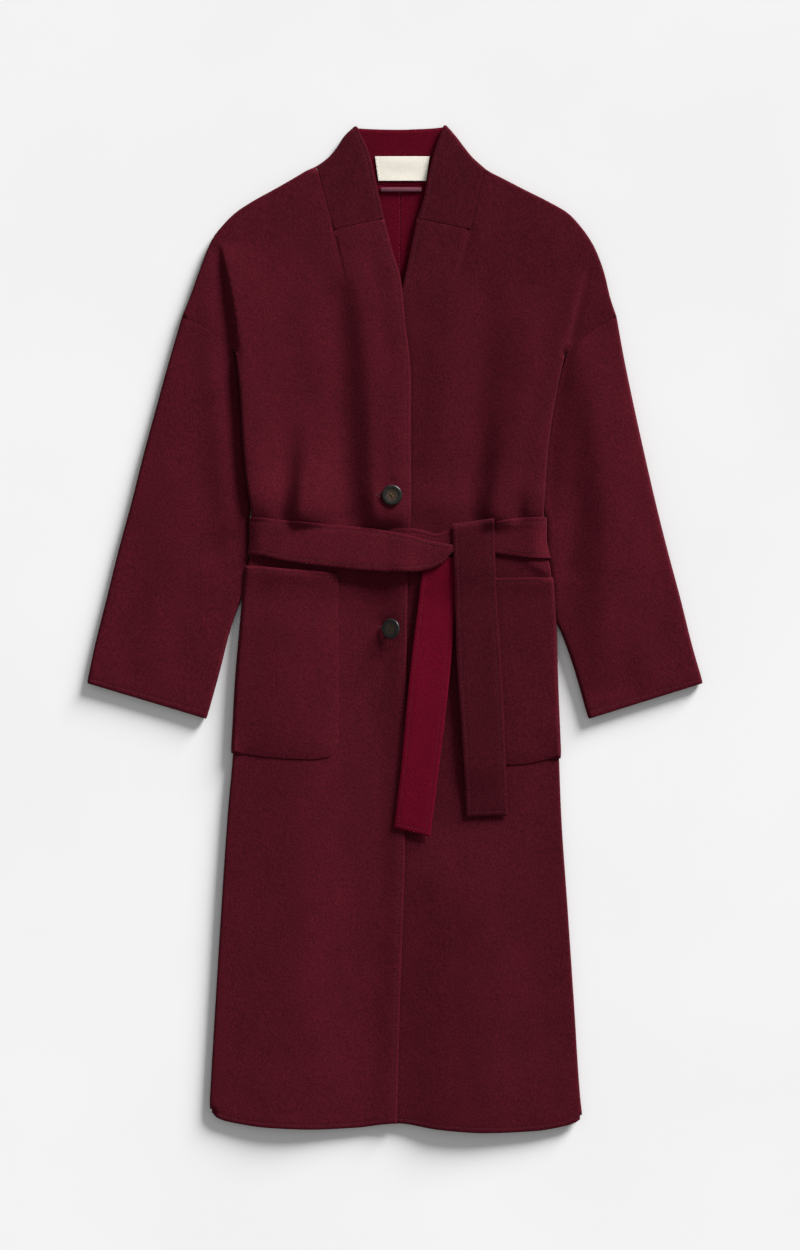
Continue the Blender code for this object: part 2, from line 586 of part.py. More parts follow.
def pocket(side):
    """A patch moved out from the front's own points, round the side edge and open at the top."""
    sign = -1 if side == "right" else 1
    out = WALL + SEAM
    top, bottom = POCKET_TOP[side], POCKET_BOTTOM[side]
    top_line = np.column_stack((top["x"], top["d"]))
    bottom_line = np.column_stack((bottom["x"], bottom["d"]))
    inner = spread(np.vstack((bottom_line[-1], top_line[-1])), LONG_PITCH)
    stops = SIDE_STOPS[side]
    between = stops[(stops > top["d"][0] + 1) & (stops < bottom["d"][0] - 1)]
    side_stops = np.concatenate((top["d"][:1], between, bottom["d"][:1]))
    edges = [(bottom_line[1:], 0), (inner, 0), (top_line[::-1][:-1], 0),
             (edge_line(SIDE, side, side_stops), EDGE_ROLL)]
    if side == "left":
        edges = [(points[::-1], roll) for points, roll in edges[::-1]]

    def height(x, d):
        mouth = np.exp(-(d - top["d"][0]) / POCKET_GAPE_RUN)
        off_side = ramp(sign * (top["x"][0] - x) / POCKET_GAPE_RUN)
        return front_height(side, x, d) + POCKET_GAPE[side] * mouth * off_side

    panel("pocket_" + side, edges, height, FRONT_PITCH, out=out, angles=POCKET_ANGLES,
          base=lambda d: back_lift(d) + WALL + SEAM)


def belt_waist(side):
    """Belt from the knot across one front and round the side edge to the back."""
    sign = -1 if side == "right" else 1
    share = np.linspace(0.0, 1.0, BELT_ACROSS + 1)
    rows = []
    for x, top, bottom, lift in zip(*BELT_WAIST[side].values()):
        d = top + (bottom - top) * share
        rows.append(np.column_stack((np.full(len(d), x), d, cover_height(side, x, d) + lift + WALL)))
    last = rows[-1]
    grip = EDGE_ROLL + BELT_GRIP + WALL
    line = read(SIDE, last[:, 1], side) - sign * EDGE_ROLL
    for angle in np.radians(ROLL_ANGLES[1:]):
        x = line + sign * grip * math.cos(angle)
        rows.append(np.column_stack((x, last[:, 1], last[:, 2] * (1 + math.sin(angle)) / 2)))
    rows.append(np.column_stack((line - sign * TUCK, last[:, 1], np.zeros(len(line)))))
    sheet("belt_waist_" + side, rows)


def belt_back():
    """Belt below the back, flat on the surface."""
    d = np.linspace(BELT_BACK_TOP, BELT_BACK_BOTTOM, BELT_ACROSS + 1)
    right = read(SIDE, d, "right") + EDGE_ROLL + TUCK + SEAM
    left = read(SIDE, d, "left") - EDGE_ROLL - TUCK - SEAM
    rows = [np.column_stack((right + (left - right) * share, d, np.full(len(d), WALL)))
            for share in np.linspace(0.0, 1.0, 6)]
    sheet("belt_back", rows)


def belt_knot():
    """Second layer of the tied belt, which shows above the waist stretch."""
    share = np.linspace(0.0, 1.0, 3)
    rows = []
    for x, top, bottom, lift in zip(*BELT_KNOT.values()):
        d = top + (bottom - top) * share
        rows.append(np.column_stack((np.full(len(d), x), d, cover_height("right", x, d) + lift + WALL)))
    sheet("belt_knot", rows)


def tail(name, table, side, color):
    """A hanging end of the belt on the fronts."""
    share = np.linspace(0.0, 1.0, BELT_ACROSS + 1)
    rows = []
    for left_x, left_d, right_x, right_d, lift in zip(*table.values()):
        x = left_x + (right_x - left_x) * share
        d = left_d + (right_d - left_d) * share
        rows.append(np.column_stack((x, d, cover_height(side, x, d) + lift + WALL)))
    sheet(name, rows, color)


def button(name, index):
    """A turned button on the right front."""
    x, d, lean, rise = (column[index] for column in BUTTONS.values())
    lean = math.radians(lean)
    middle = front_height("right", x, d) + rise + BUTTON_RADIUS * math.sin(lean)
    build = bmesh.new()
    profile = [build.verts.new((radius * MM, 0.0, height * MM))
               for radius, height in zip(*BUTTON_SECTION.values())]
    rings = [build.edges.new(pair) for pair in zip(profile, profile[1:])]
    bmesh.ops.spin(build, geom=profile + rings, axis=(0, 0, 1), cent=(0, 0, 0),
                   steps=BUTTON_SEGMENTS, angle=2 * math.pi, use_merge=True)
    bmesh.ops.remove_doubles(build, verts=build.verts, dist=1e-6)
    bmesh.ops.recalc_face_normals(build, faces=build.faces)
    bmesh.ops.rotate(build, verts=build.verts, cent=(0, 0, 0), matrix=Matrix.Rotation(-lean, 3, "Y"))
    piece = add_object(name, [(0, 0, 0)], [], HORN, roughness=0.35)
    bmesh.ops.translate(build, verts=build.verts,
                        vec=(x * MM, (LENGTH / 2 - d) * MM, float(middle) * MM))
    build.to_mesh(piece.data)
    build.free()


def neck_label():
    """Blank label on the inner face of the back collar."""
    rows = [[(x, d, WALL + SEAM + LABEL_WALL) for x in np.linspace(left, right, 4)]
            for d, left, right in zip(*LABEL_ROWS.values())]
    sheet("neck_label", rows, LABEL_CLOTH, LABEL_WALL)


def hanger_loop():
    """Tape over the back neck seam, caught at both ends."""
    rows = [[(x, d, WALL + SEAM + LOOP_WALL + rise) for d in (LOOP_TOP, LOOP_BOTTOM)]
            for x, rise in zip(*LOOP_ROWS.values())]
    sheet("hanger_loop", rows, LOOP_TAPE, LOOP_WALL)


for piece in list(bpy.data.objects):
    bpy.data.objects.remove(piece, do_unlink=True)
collection = bpy.data.collections.new(COAT)
bpy.context.scene.collection.children.link(collection)

for side in ("right", "left"):
    back(side)
    front(side)
    sleeve(side)
    pocket(side)
    belt_waist(side)
collar()
belt_back()
belt_knot()
tail("belt_tail_under", TAIL_UNDER, "right", WOOL_REVERSE)
tail("belt_tail_over", TAIL_OVER, "left", WOOL)
button("button_upper", 0)
button("button_lower", 1)
neck_label()
hanger_loop()
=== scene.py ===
"""Looks of a belted coat in double-faced wool, laid flat on its back.

Tables and sizes are in millimetres, as in the part: x runs across to the viewer's right, d runs down
the coat from the top of the collar and z is the height above the surface. Right and left are the
wearer's. Each cloth piece is a closed thin shell on its solid's form, dark outside and crimson inside,
with finer creases, rounded edges, pressed seams and a sewn line along each free edge.
"""
import math
from collections import namedtuple

import bmesh
import bpy
import numpy as np
from mathutils import Matrix, Vector
from mathutils.geometry import delaunay_2d_cdt


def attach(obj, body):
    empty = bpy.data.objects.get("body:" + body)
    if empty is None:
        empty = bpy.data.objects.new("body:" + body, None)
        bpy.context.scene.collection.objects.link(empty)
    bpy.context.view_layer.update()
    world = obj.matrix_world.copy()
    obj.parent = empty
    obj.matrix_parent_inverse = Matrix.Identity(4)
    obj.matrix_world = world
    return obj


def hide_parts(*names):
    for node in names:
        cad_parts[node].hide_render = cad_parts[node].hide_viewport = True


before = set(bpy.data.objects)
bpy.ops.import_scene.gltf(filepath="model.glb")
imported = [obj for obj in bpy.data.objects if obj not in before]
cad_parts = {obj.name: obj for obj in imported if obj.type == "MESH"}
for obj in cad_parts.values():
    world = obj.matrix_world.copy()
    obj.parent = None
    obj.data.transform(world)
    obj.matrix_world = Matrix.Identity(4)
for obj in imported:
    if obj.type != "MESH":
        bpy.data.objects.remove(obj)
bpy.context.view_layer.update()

MM = 0.001
LENGTH = 1179.0
SIGN = {"right": -1, "left": 1}

# Cloth and the gaps between pieces
WALL = 2.4
SEAM = 0.3
LABEL_WALL = 1.0
LOOP_WALL = 1.2

# Rounded edges of the laid-out cloth
EDGE_ROLL = 3.2
SLEEVE_ROLL = 4.4
COLLAR_ROLL = 4.2
ROLL_ANGLES = np.linspace(90.0, -90.0, 13)
POCKET_ANGLES = np.linspace(90.0, -20.0, 9)
RETURN = 8.0
TUCK = 4.0

# Spacing of points on the fronts and pockets, on the backs, along the outlines and on the strips
FRONT_PITCH = 4.6
BACK_PITCH = 9.0
EDGE_PITCH = 5.0
STRIP_PITCH = 4.5
SLEEVE_PITCH = 5.0

# Lap of the right front over the left: the left dips below it, and the right's edge stands up
LAP_GAP = 0.5
LAP_STEP = WALL + SEAM + LAP_GAP
LAP_RUN = 12.0
LAP_RISE = 2.6
LAP_RISE_TOP = 125.0
LAP_RISE_RUN = 32.0

# Belt where it passes below the back, and its gap from the side edge it goes round
BELT_BACK_TOP = 460.0
BELT_BACK_BOTTOM = 509.0
BELT_MARGIN = 6.0
BELT_RAMP = 22.0
BELT_GRIP = 1.6

# Sleeve seam, bowed towards the shoulder, and the shares of it where the front and the back have points
ARMHOLE_BOW = 4.5
FRONT_ARMHOLE = np.linspace(0.045, 1.0, 15)
BACK_ARMHOLE = np.linspace(0.09, 0.9, 12)

# Places down the coat: seam ends at the neck, foot of the V, sleeve seam, underarm and hem
NECK_SEAM_TOP = {"right": 55.2, "left": 55.8}
SHOULDER_TOP = {"right": 50.7, "left": 53.2}
BACK_SHOULDER_TOP = 60.5
BACK_SHOULDER_FOOT = 224.5
NECK_SEAM_FOOT = 124.5
V_FOOT = 184.0
SLEEVE_SEAM_TOP = 226.5
SIDE_TOP = {"right": 268.0, "left": 271.5}
HEM_AT_FRONT_EDGE = 1167.0
HEM_AT_CENTRE_BACK = 1168.0

# Hem of the back, hidden behind the fronts, and the centre-back seam
BACK_HEM_SHORT = 4.0
BACK_SIDE_TOP = 266.0
BACK_SIDE_FOOT = 1150.0
BACK_SHOULDER_INSET = 5.4
CENTRE_BACK_TOP = 6.0
CENTRE_BACK_HEM = 0.6

# Pocket mouth standing off the front
POCKET_GAPE = {"right": 3.4, "left": 0.3}
POCKET_GAPE_RUN = 30.0

# Rounding of a free edge, and the sewn line that runs inside it
EDGE_ROUND = 0.9
EDGE_ROUND_RUN = 4.4
STITCH_IN = 5.2
STITCH_DEPTH = 0.3
STITCH_HALF = 1.1
STITCH_PITCH = 4.6
STITCH_LENGTH = 3.0
STITCH_RADIUS = 0.22

# Seams: how far the low side and the proud side dip to the join, and over what distance
LOW_DIP = 0.24
LOW_RUN = 1.6
PROUD_DIP = 0.22
PROUD_RUN = 1.4

# Sides of a pressed patch, sewn down so that they hardly show
PRESSED_DIP = 1.9
PRESSED_RUN = 14.0

# Gap between sewn pieces, and how far a sleeve's head laps the front
JOIN = 0.12
HEAD_LAP = 0.3

# Distances in from an edge of each kind at which the cloth has a row of points
RINGS = {
    "free": (0.5, 1.2, 2.6, 4.2, STITCH_IN, 6.2, 8.0),
    "low": (0.6, 1.6, 3.4, 6.5),
    "proud": (0.5, 1.2, 2.6),
    "pressed": (0.6, 1.6, 3.4, 6.0, 9.0),
    "plain": ()}
SHAPED_KINDS = ("free", "low", "pressed", "proud")
SEWN_ROW = 1 + RINGS["free"].index(STITCH_IN)

# How near a lattice point may lie to an outline, a row inside it and a crease, in pitches
CLEAR_OF_OUTLINE = 0.55
CLEAR_OF_ROW = 0.5
CLEAR_OF_CREASE = 0.3

# Share of its depth that a point of a row keeps clear of every edge
ROW_CLEAR = 0.96

# Lengths too small to count, and the kind of triangles that keeps to the inside of an outline
TINY_RUN = 1e-9
SAME_POINT = 1e-4
SAME_CORNER = 1e-6
INSIDE_ONLY = 1

# Least distance between a stop that is asked for and the ends beside it
STOP_APART = 1.0

# Most that an edge may thin the wall, and the least that counts
MOST_THINNED = 0.85
LEAST_THINNED = 0.01

# Stitch: stops along its length and its girth at each, in shares, and its sides
BEAD_STOPS = np.array((-0.5, -0.42, -0.15, 0.15, 0.42, 0.5))
BEAD_GIRTH = np.array((0.25, 0.75, 1.0, 1.0, 0.75, 0.25))
BEAD_SIDES = 6

# Buttons, their holes, thread and shank
BUTTON_RADIUS = 12.0
BUTTON_SEGMENTS = 64
BUTTON_DEPTH = 4.0
BUTTON_FACE = 2.6
BUTTON_SHARP = 50.0
HOLE_RADIUS = 0.95
HOLE_SEGMENTS = 20
HOLE_OFFSET = 2.4
THREAD_RADIUS = 0.45
SHANK_RADIUS = 2.0
SHANK_LEAN = 0.1

# Label and loop: how they lie off the cloth between the places where they are caught, and their points
LABEL_RISE = 0.5
LABEL_LEVEL = 0.6
LABEL_WAVE = 0.4
LABEL_WAVES = 1.1
LABEL_DOWN = np.concatenate(((0.0, 0.012), np.linspace(0.05, 0.95, 15), (0.988, 1.0)))
LABEL_ACROSS = np.concatenate(((0.0, 0.006), np.linspace(0.03, 0.97, 29), (0.994, 1.0)))
LABEL_SEWN = (2, -3)
LOOP_CROWN = 0.35
LOOP_PITCH = 1.5
LOOP_ACROSS = 7

# Surface below the coat
FLOOR_SIZE = 60.0
FLOOR_BELOW = 0.4


def columns(names, rows):
    """A table of rows, read by the name of the column."""
    return dict(zip(names.split(), np.array(rows, float).T))


# Height of the upper layer above the surface, down the coat
LOFT = columns("d height", [
    (0, 8.4), (110, 8.6), (220, 8.8), (400, 8.8), (454, 11.2), (515, 11.2), (560, 8.9),
    (900, 8.6), (1180, 8.4)])

# Height of the sleeves, which have no belt below them
SLEEVE_LOFT = columns("d height", [(110, 8.6), (220, 8.8), (900, 8.8)])

# Shoulder edge of each side, from the neck to the sleeve seam
SHOULDER = columns("d right left", [
    (50.7, -92.6, 102), (52, -97.4, 103.9), (54.8, -102.6, 107.1), (58.5, -108.7, 113.7),
    (63, -116.2, 123), (77, -140.5, 150), (91, -166, 178),
    (105, -187, 202), (119, -201, 215.5), (133, -212, 226), (147, -219, 234),
    (175, -229.5, 244.5), (204, -240, 251.5), (226.5, -249, 259)])

# Ends of the sleeve seam that show on the front
ARMHOLE = columns("right_x right_d left_x left_d", [
    (-249, 226.5, 259, 226.5), (-189, 265.5, 200.3, 270)])

# Side edge of the body below the sleeve seam
SIDE = columns("d right left", [
    (268, -186.5, 199), (316, -181.5, 188.5), (379, -177.5, 179), (427, -172.5, 175.5),
    (457, -167.5, 173.7), (487, -166.5, 173.5), (523, -173, 182), (586, -178.8, 186.2),
    (650, -184.3, 188), (737, -189.3, 191.5), (807, -195.4, 194.2), (919, -203, 201.8),
    (1032, -210, 209.4), (1144, -216.5, 217), (1160, -217.3, 219.5)])
SIDE_END = {"right": 1151.0, "left": 1158.0}

# Front edge of each side, from the collar seam down past the V to the hem
FRONT_EDGE = columns("d right left", [
    (111.5, -12.6, 25.7), (149, -2.8, 17.7), (184, 7, 10.3), (229, 11.7, -1),
    (300, 18.5, -15), (440, 18.7, -20), (528, 14.9, -22), (662, 12.9, -24),
    (840, 11.7, -26), (1039, 5.4, -31), (1167, 2.3, -35)])

# Neck seam of each side, from the shoulder down to the collar seam
NECK_SEAM = columns("d right left", [(55, -90, 105.5), (87, -81.6, 97.3), (125, -71, 87.8)])

# Hem, from side to side
HEM = columns("x d", [
    (-217, 1151), (-207, 1162), (-190, 1167), (-147, 1173), (-94, 1175), (-44, 1173), (2, 1168),
    (50, 1175), (106, 1179), (162, 1177), (199, 1171), (213, 1166), (220, 1159)])

# Back neck seam and how far the back lies inside the side edges
BACK_NECK = columns("x d", [
    (-86, 57.5), (-58, 64.5), (-28, 70.5), (6, 73), (40, 70.5), (70, 65), (98, 58.5)])
BACK_INSET = columns("d right left", [
    (268, -1, -1), (420, -1, -1), (440, 4, 4), (454, 11, 11), (485, 11, 11),
    (515, 11, 11), (537, 4, 4), (1150, 3, 3)])

# Sleeves: their two edges, and where each row across meets them
SLEEVE_OUTER = columns("d right left", [
    (226.5, -249, 259), (274, -263, 267.5), (330, -278.5, 279), (386, -293.7, 291.3),
    (442, -307.7, 304.2), (498, -322.9, 318.2), (555, -337, 333.5), (611, -351, 347.5),
    (654, -360, 360)])
SLEEVE_INNER = columns("d right left", [
    (264, -189, 199.6), (268, -187, 198.6), (316, -181.7, 188.1), (379, -177.7, 178.6),
    (427, -172.7, 175.1), (450, -169, 174), (456, -168.7, 174.2), (461, -170.8, 177.2),
    (466, -171.2, 178), (490, -170.6, 177.8), (503, -170.2, 177.4), (508, -170.5, 178.8),
    (524, -173.6, 182.4), (545, -176.2, 184.6),
    (579, -188, 187.6), (600, -194.5, 196),
    (634, -203, 208), (696, -220, 225.8)])
SLEEVE_ROWS = columns("outer inner", [
    (226.5, 264), (270, 305), (320, 352), (370, 398), (410, 432), (445, 462), (475, 488),
    (505, 515), (540, 548), (580, 590), (615, 640), (654, 696)])

# Spaces across a sleeve, how tightly its inner edge turns, and the rows that share the seam's bow
SLEEVE_ACROSS = 24
SLEEVE_TIGHT = columns("d right left", [(263, 4.4, 0.7), (545, 4.4, 0.7), (600, 4.4, 4.4)])
SLEEVE_BOWED_ROWS = 3.0

# Soft folds of the fronts: the line each runs along, its half width and its depth at both ends
FOLD = "x0 d0 x1 d1 width depth0 depth1"
FOLDS = {
    "right": columns(FOLD, [
        (-121, 372, -131, 456, 12, 0.6, 3),
        (-64, 205, -56, 458, 16, 1.6, 2.6),
        (2, 300, 2, 410, 12, -0.3, -1.8),
        (-152, 330, -150, 440, 20, -0.5, -1.6),
        (-224, 165, -212, 310, 12, -0.2, -0.8),
        (16, 545, 14, 690, 16, -2.5, -0.4)]),
    "left": columns(FOLD, [
        (108, 210, 96, 455, 17, 1.2, 2.6),
        (150, 440, 148, 458, 9, 0.8, 2.2),
        (160, 240, 152, 425, 22, -1, -2.4),
        (60, 215, 56, 440, 30, -1.6, -2.8)])}

# Crease between a sleeve's head and the front, which both of them share, in the columns below
ARMHOLE_CREASE = {
    "right": ((138, -206, 0, 9, 3), (165, -202.5, -2, 11, 3), (206, -195, -3.4, 13, 3),
              (262, -187.5, -3.6, 14, 3.5)),
    "left": ((165, 226, 0, 1.8, 8), (180, 222, -0.8, 1.8, 8), (271, 200.5, -2, 1.8, 8))}

# Lopsided ridges, or creases where the rise is below zero: how far each reaches on either side
RIDGE = "d x rise left right"
BENDS = {
    "right": [columns(RIDGE, line) for line in (
        ((118, -72.5, 0, 5, 1), (124.5, -71, -0.8, 5, 1), (192, -55.5, 0, 5, 1)),
        ((140, -203, 0, 3, 40), (165, -197.5, 3.2, 2.4, 50), (206, -189.5, 5.6, 2.4, 60),
         (262, -182.5, 6.8, 2.6, 60), (323, -179.6, 7.4, 3, 50), (379, -175.8, 7.6, 3, 42),
         (427, -170.8, 7, 3, 40), (450, -167, 4.4, 3, 36), (466, -165, 0, 3, 36)),
        (*ARMHOLE_CREASE["right"], (280, -186.5, -3.6, 14, 3.5), (300, -186, 0, 14, 3.5)),
        ((330, -98, 0, 18, 34), (377, -102, 3.4, 15, 34), (401, -104, 6, 14, 34),
         (430, -107, 8.8, 13, 32), (452, -110, 9.8, 12, 30), (462, -112, 8, 11, 28),
         (474, -114, 0, 10, 26)),
        ((150, -44, 0, 22, 44), (222, -35, 5, 20, 46), (309, -27, 6.4, 20, 46),
         (385, -24, 7.4, 19, 44), (430, -23, 8.8, 16, 40), (453, -21, 9.6, 14, 36),
         (463, -21, 8, 13, 34), (476, -21, 0, 13, 32)),
        ((540, -118, 0, 56, 46), (600, -118, 3.6, 56, 46), (740, -119, 4.4, 58, 48),
         (960, -122, 4.6, 60, 50), (1190, -126, 4, 62, 52)))],
    "left": [columns(RIDGE, line) for line in (
        ((118, 89.5, 0, 1.6, 6), (124.5, 87.8, -1.3, 1.6, 6), (192, 67, 0, 1.6, 6)),
        (*ARMHOLE_CREASE["left"], (300, 196, 0, 1.8, 8)),
        ((170, 219, 0, 12, 6), (200, 211, 2, 14, 6), (271, 194, 3.2, 16, 5),
         (316, 184, 3.4, 16, 5), (379, 174.5, 3.4, 16, 5), (427, 171, 3.4, 16, 5),
         (450, 169.5, 2.4, 16, 5), (466, 168, 0, 16, 5)),
        ((190, 158, 0, 38, 34), (260, 151, 3, 34, 34), (328, 140, 5.2, 28, 34), (405, 125, 8.4, 20, 32),
         (440, 117, 9.4, 17, 28), (453, 115, 9.6, 16, 26), (463, 114, 7.6, 15, 24), (476, 113, 0, 14, 24)),
        ((425, 160, 0, 8, 16), (445, 156, 2, 7, 15), (456, 154, 3, 6, 14),
         (466, 152, 1.5, 6, 14), (476, 151, 0, 6, 14)),
        ((820, 64, 0, 34, 90), (900, 62, 4.2, 34, 90), (1040, 62, 5, 34, 90),
         (1190, 64, 5, 36, 90)))]}
SLEEVE_BENDS = {
    "right": [columns(RIDGE, line) for line in (
        (*ARMHOLE_CREASE["right"], (323, -184, -3.7, 15, 4), (379, -180, -3.7, 15, 4),
         (427, -175, -3.7, 15, 4), (450, -171, -2.4, 14, 4), (465, -170, 0, 12, 4)),
        ((280, -208, 0, 18, 10), (320, -205, 0.9, 18, 10), (470, -195, 1.4, 18, 10),
         (520, -194, 0, 18, 10)))],
    "left": [columns(RIDGE, line) for line in (
        (*ARMHOLE_CREASE["left"], (316, 190, -2.4, 5, 12), (379, 181, -2.4, 5, 12), (427, 178, -2.4, 5, 12),
         (450, 177, -2, 5, 12), (470, 178, 0, 5, 12)),
        ((240, 214, 0, 18, 60), (309, 230, 4.2, 24, 60), (345, 236, 5.8, 26, 60), (405, 245, 7.2, 26, 60),
         (501, 250, 7.8, 28, 60), (545, 247, 6.4, 30, 55), (600, 246, 4.2, 34, 50),
         (660, 244, 0, 34, 50)))]}

# Extra rows of points along ridges and creases with a crisp side, in shares of each side's reach
CRISP = 4.0
CRISP_FOOT = 256.0
CRISP_PITCH = 3.0
CRISP_FAR = 15.0
CRISP_SHARES = np.array((0.4, 0.8, 1.3, 2.0))

# Collar strip: top leaves from the front seams to the folds, then the back leaf between the folds
COLLAR_TOP = {
    "right": columns("neck_d free_x free_d", [
        (124.38, -12.6, 111.38), (103, -17.8, 88), (83, -23.2, 64), (66, -30, 35), (53.5, -43.2, 5.6)]),
    "left": columns("neck_d free_x free_d", [
        (124.38, 25.7, 111.38), (103, 33.5, 88), (83, 38, 64), (66, 45, 35), (56.5, 55.5, 4.6)])}
COLLAR_BACK = columns("neck_x free_x free_d", [
    (-58, -29, 6.2), (-28, -13, 6.7), (6, 6, 6.9), (40, 25, 6.3), (70, 40, 5.7)])
COLLAR_FOLD_OUT = {"right": (-0.753, 0.658), "left": (0.758, 0.653)}
COLLAR_WIDTH = 62.0
COLLAR_PITCH = 4.0
COLLAR_PROUD = 0.1

# Bend of the collar's folds: how far each lies outside a straight line, from the neck to the peak
COLLAR_BEND = columns("share right left", [
    (0, 0, -1.2), (0.15, -2.2, -2.2), (0.3, -3.3, -3), (0.5, -2.2, -2), (0.75, 1, 0), (1, 0.5, 0.9)])
COLLAR_BEND_RUN = 16.0

# Patch pockets: top edge, inner edge and bottom edge, in order from the side seam round
POCKET_TOP = {
    "right": columns("x d", [(-165.5, 517), (-127, 520.5), (-94, 523), (-75, 525), (-66, 526.5)]),
    "left": columns("x d", [(172.5, 530.5), (135, 531), (100, 532), (84, 533), (78, 538)])}
POCKET_BOTTOM = {
    "right": columns("x d", [(-180.3, 736), (-146, 740.5), (-100, 743), (-77, 740), (-66, 722)]),
    "left": columns("x d", [(182.6, 742), (150, 748.5), (110, 750), (86, 746), (78, 732)])}

# How far the belt's lower edge stands off more than its upper edge, across the fronts
BELT_TILT = columns("x rise", [(-175, 0), (-120, 2.4), (-60, 4.8), (0, 5.2), (20, 2.8), (45, 0)])

# Belt stretches across the fronts: top and bottom edge and lift off the front
BELT_WAIST = {
    "right": columns("x top bottom lift", [
        (72, 493.4, 498.5, 4.2), (65, 492.4, 503, 4.2), (61, 491.8, 508.5, 4.2), (55, 490.6, 514.4, 4.2),
        (42, 488, 520.7, 4.2), (22, 483, 524, 4.2), (-8, 476.6, 524, 3.2), (-48, 471.5, 521.5, 1.4),
        (-80, 468.8, 518, 0.8),
        (-115, 465.5, 513.5, 0.8), (-140, 463, 509, 1), (-155.5, 461, 505, 1.4)]),
    "left": columns("x top bottom lift", [
        (76, 475, 502, 0.8), (100, 474, 502.5, 0.8), (113, 472.5, 503, 0.8), (119, 465.5, 503.5, 0.8),
        (145, 461.5, 507, 1), (162, 460.5, 508.5, 1.4)])}
BELT_KNOT = columns("x top bottom lift", [
    (-8, 474.6, 490, 0.8), (8, 473.2, 494, 0.8), (20, 473.4, 496, 0.8), (35, 476.2, 497, 0.9),
    (49, 479.6, 498, 1), (57, 477.8, 498, 1.2), (64, 474.6, 498, 1.4), (72, 472.6, 498, 1.4)])

# Hanging belt ends: both edges of each row and the lift off the front
TAIL_OVER = columns("left_x left_d right_x right_d lift", [
    (66.7, 468.4, 115.1, 461.9, 3.4), (66.9, 472.5, 115.5, 466.5, 7), (68, 505, 116.5, 503, 7.2),
    (69.5, 545, 117.7, 545, 7), (71.5, 621, 122.9, 621, 6.6), (76, 690, 126.5, 690, 6),
    (79.8, 747, 129, 747, 5.4), (81.5, 778, 130, 778, 3), (83, 810, 131.4, 808.5, 1.2)])
TAIL_UNDER = columns("left_x left_d right_x right_d lift", [
    (35, 507, 72, 507, 0.4), (31.6, 525, 72, 525, 0.4), (27, 562, 70, 564, 0.5),
    (19, 627, 65, 632, 1), (12.5, 690, 58, 697, 2), (8, 742, 51.5, 750, 2),
    (3.4, 782, 46.5, 791, 1.6), (-1.5, 822.5, 41, 833, 1)])

# Label and hanger loop inside the neck
LABEL_ROWS = columns("d left right", [(38.5, -23.5, 40.5), (67, -19.5, 36.5)])
LOOP_ROWS = columns("x rise", [(-17, 0.3), (-8, 0.8), (7, 1), (22, 0.8), (31, 0.3)])
LOOP_TOP = 75.0
LOOP_BOTTOM = 79.8

# Buttons on the right front: their place, lean to the viewer's left and height off the cloth
BUTTONS = columns("x d lean rise", [(-3.5, 435, 0, 0.8), (-4, 590.5, 30, -1.8)])

# Turned section of a button, from the middle of its back round to the middle of its face
BUTTON_SECTION = columns("radius height", [
    (0, 0), (9.5, 0), (11.6, 0.9), (12, 2), (11.4, 3.3), (10, 3.8), (8.2, 3.3),
    (6.5, 2.7), (0, 2.5)])

# Finer creases that only show close up, in the same columns as the soft folds
CREASES = {
    "right": columns(FOLD, [
        (-26, 540, -34, 690, 16, 1, 0.5),
        (-150, 800, -140, 1080, 34, 0.6, 0.9),
        (-90, 830, -96, 1110, 30, -0.6, -0.9),
        (-40, 860, -46, 1120, 22, 0.5, 0.8),
        (-120, 150, -96, 270, 26, -0.6, -1.2),
        (-160, 508, -100, 520, 8, 3, 2),
        (-64, 530, 4, 534, 9, 2.6, 2.2),
        (-15, 586, -13, 595, 9, 1.6, 1.6)]),
    "left": columns(FOLD, [
        (52, 820, 58, 1110, 26, 0.6, 0.9),
        (104, 860, 112, 1120, 30, -0.6, -0.9),
        (160, 800, 168, 1080, 30, 0.5, 0.8),
        (150, 190, 140, 300, 24, 0.5, 0.9),
        (158, 513, 174, 523, 5, -1.6, -2)])}

# Soft creases of the sleeves, in the same columns
SLEEVE_CREASES = {
    "right": columns(FOLD, [
        (-232, 330, -214, 500, 16, 0.4, 0.9),
        (-190, 486, -232, 520, 10, 1.2, 0.2),
        (-262, 420, -276, 640, 22, -0.5, -1),
        (-300, 480, -312, 640, 16, 0.4, 0.9)]),
    "left": columns(FOLD, [
        (212, 430, 206, 520, 12, 0.5, 1.4),
        (262, 540, 276, 660, 16, 0.4, 1),
        (300, 460, 312, 620, 18, 0.4, 0.8)])}

# Slow unevenness of cloth that lies loose
WAVES = columns("x_length d_length x_shift d_shift height", [
    (210, 310, 0.4, 1.1, 0.22), (140, 190, 2.1, 0.3, 0.14), (83, 121, 1.2, 2.6, 0.07)])

# Buttonholes: where each starts and ends and how far down it is, and its stitches
BUTTONHOLES = columns("x0 x1 d", [(-22.5, 4.5, 434.6), (-19.0, 2.0, 588.8)])
PURL_PITCH = 0.75
PURL_LENGTH = 1.7
PURL_RADIUS = 0.3
SLIT_HALF = 0.35

# Painted shade and light: how much darker the copies of the wool are on the left front and pocket, the over
# tail and the collar, and how much lighter the crimson is on the under tail, standing in for how the light
# falls on them
LEFT_PAINTED_SHADE = 0.9
TAIL_OVER_PAINTED_SHADE = 0.76
COLLAR_PAINTED_SHADE = 0.84
TAIL_UNDER_PAINTED_LIGHT = 1.22

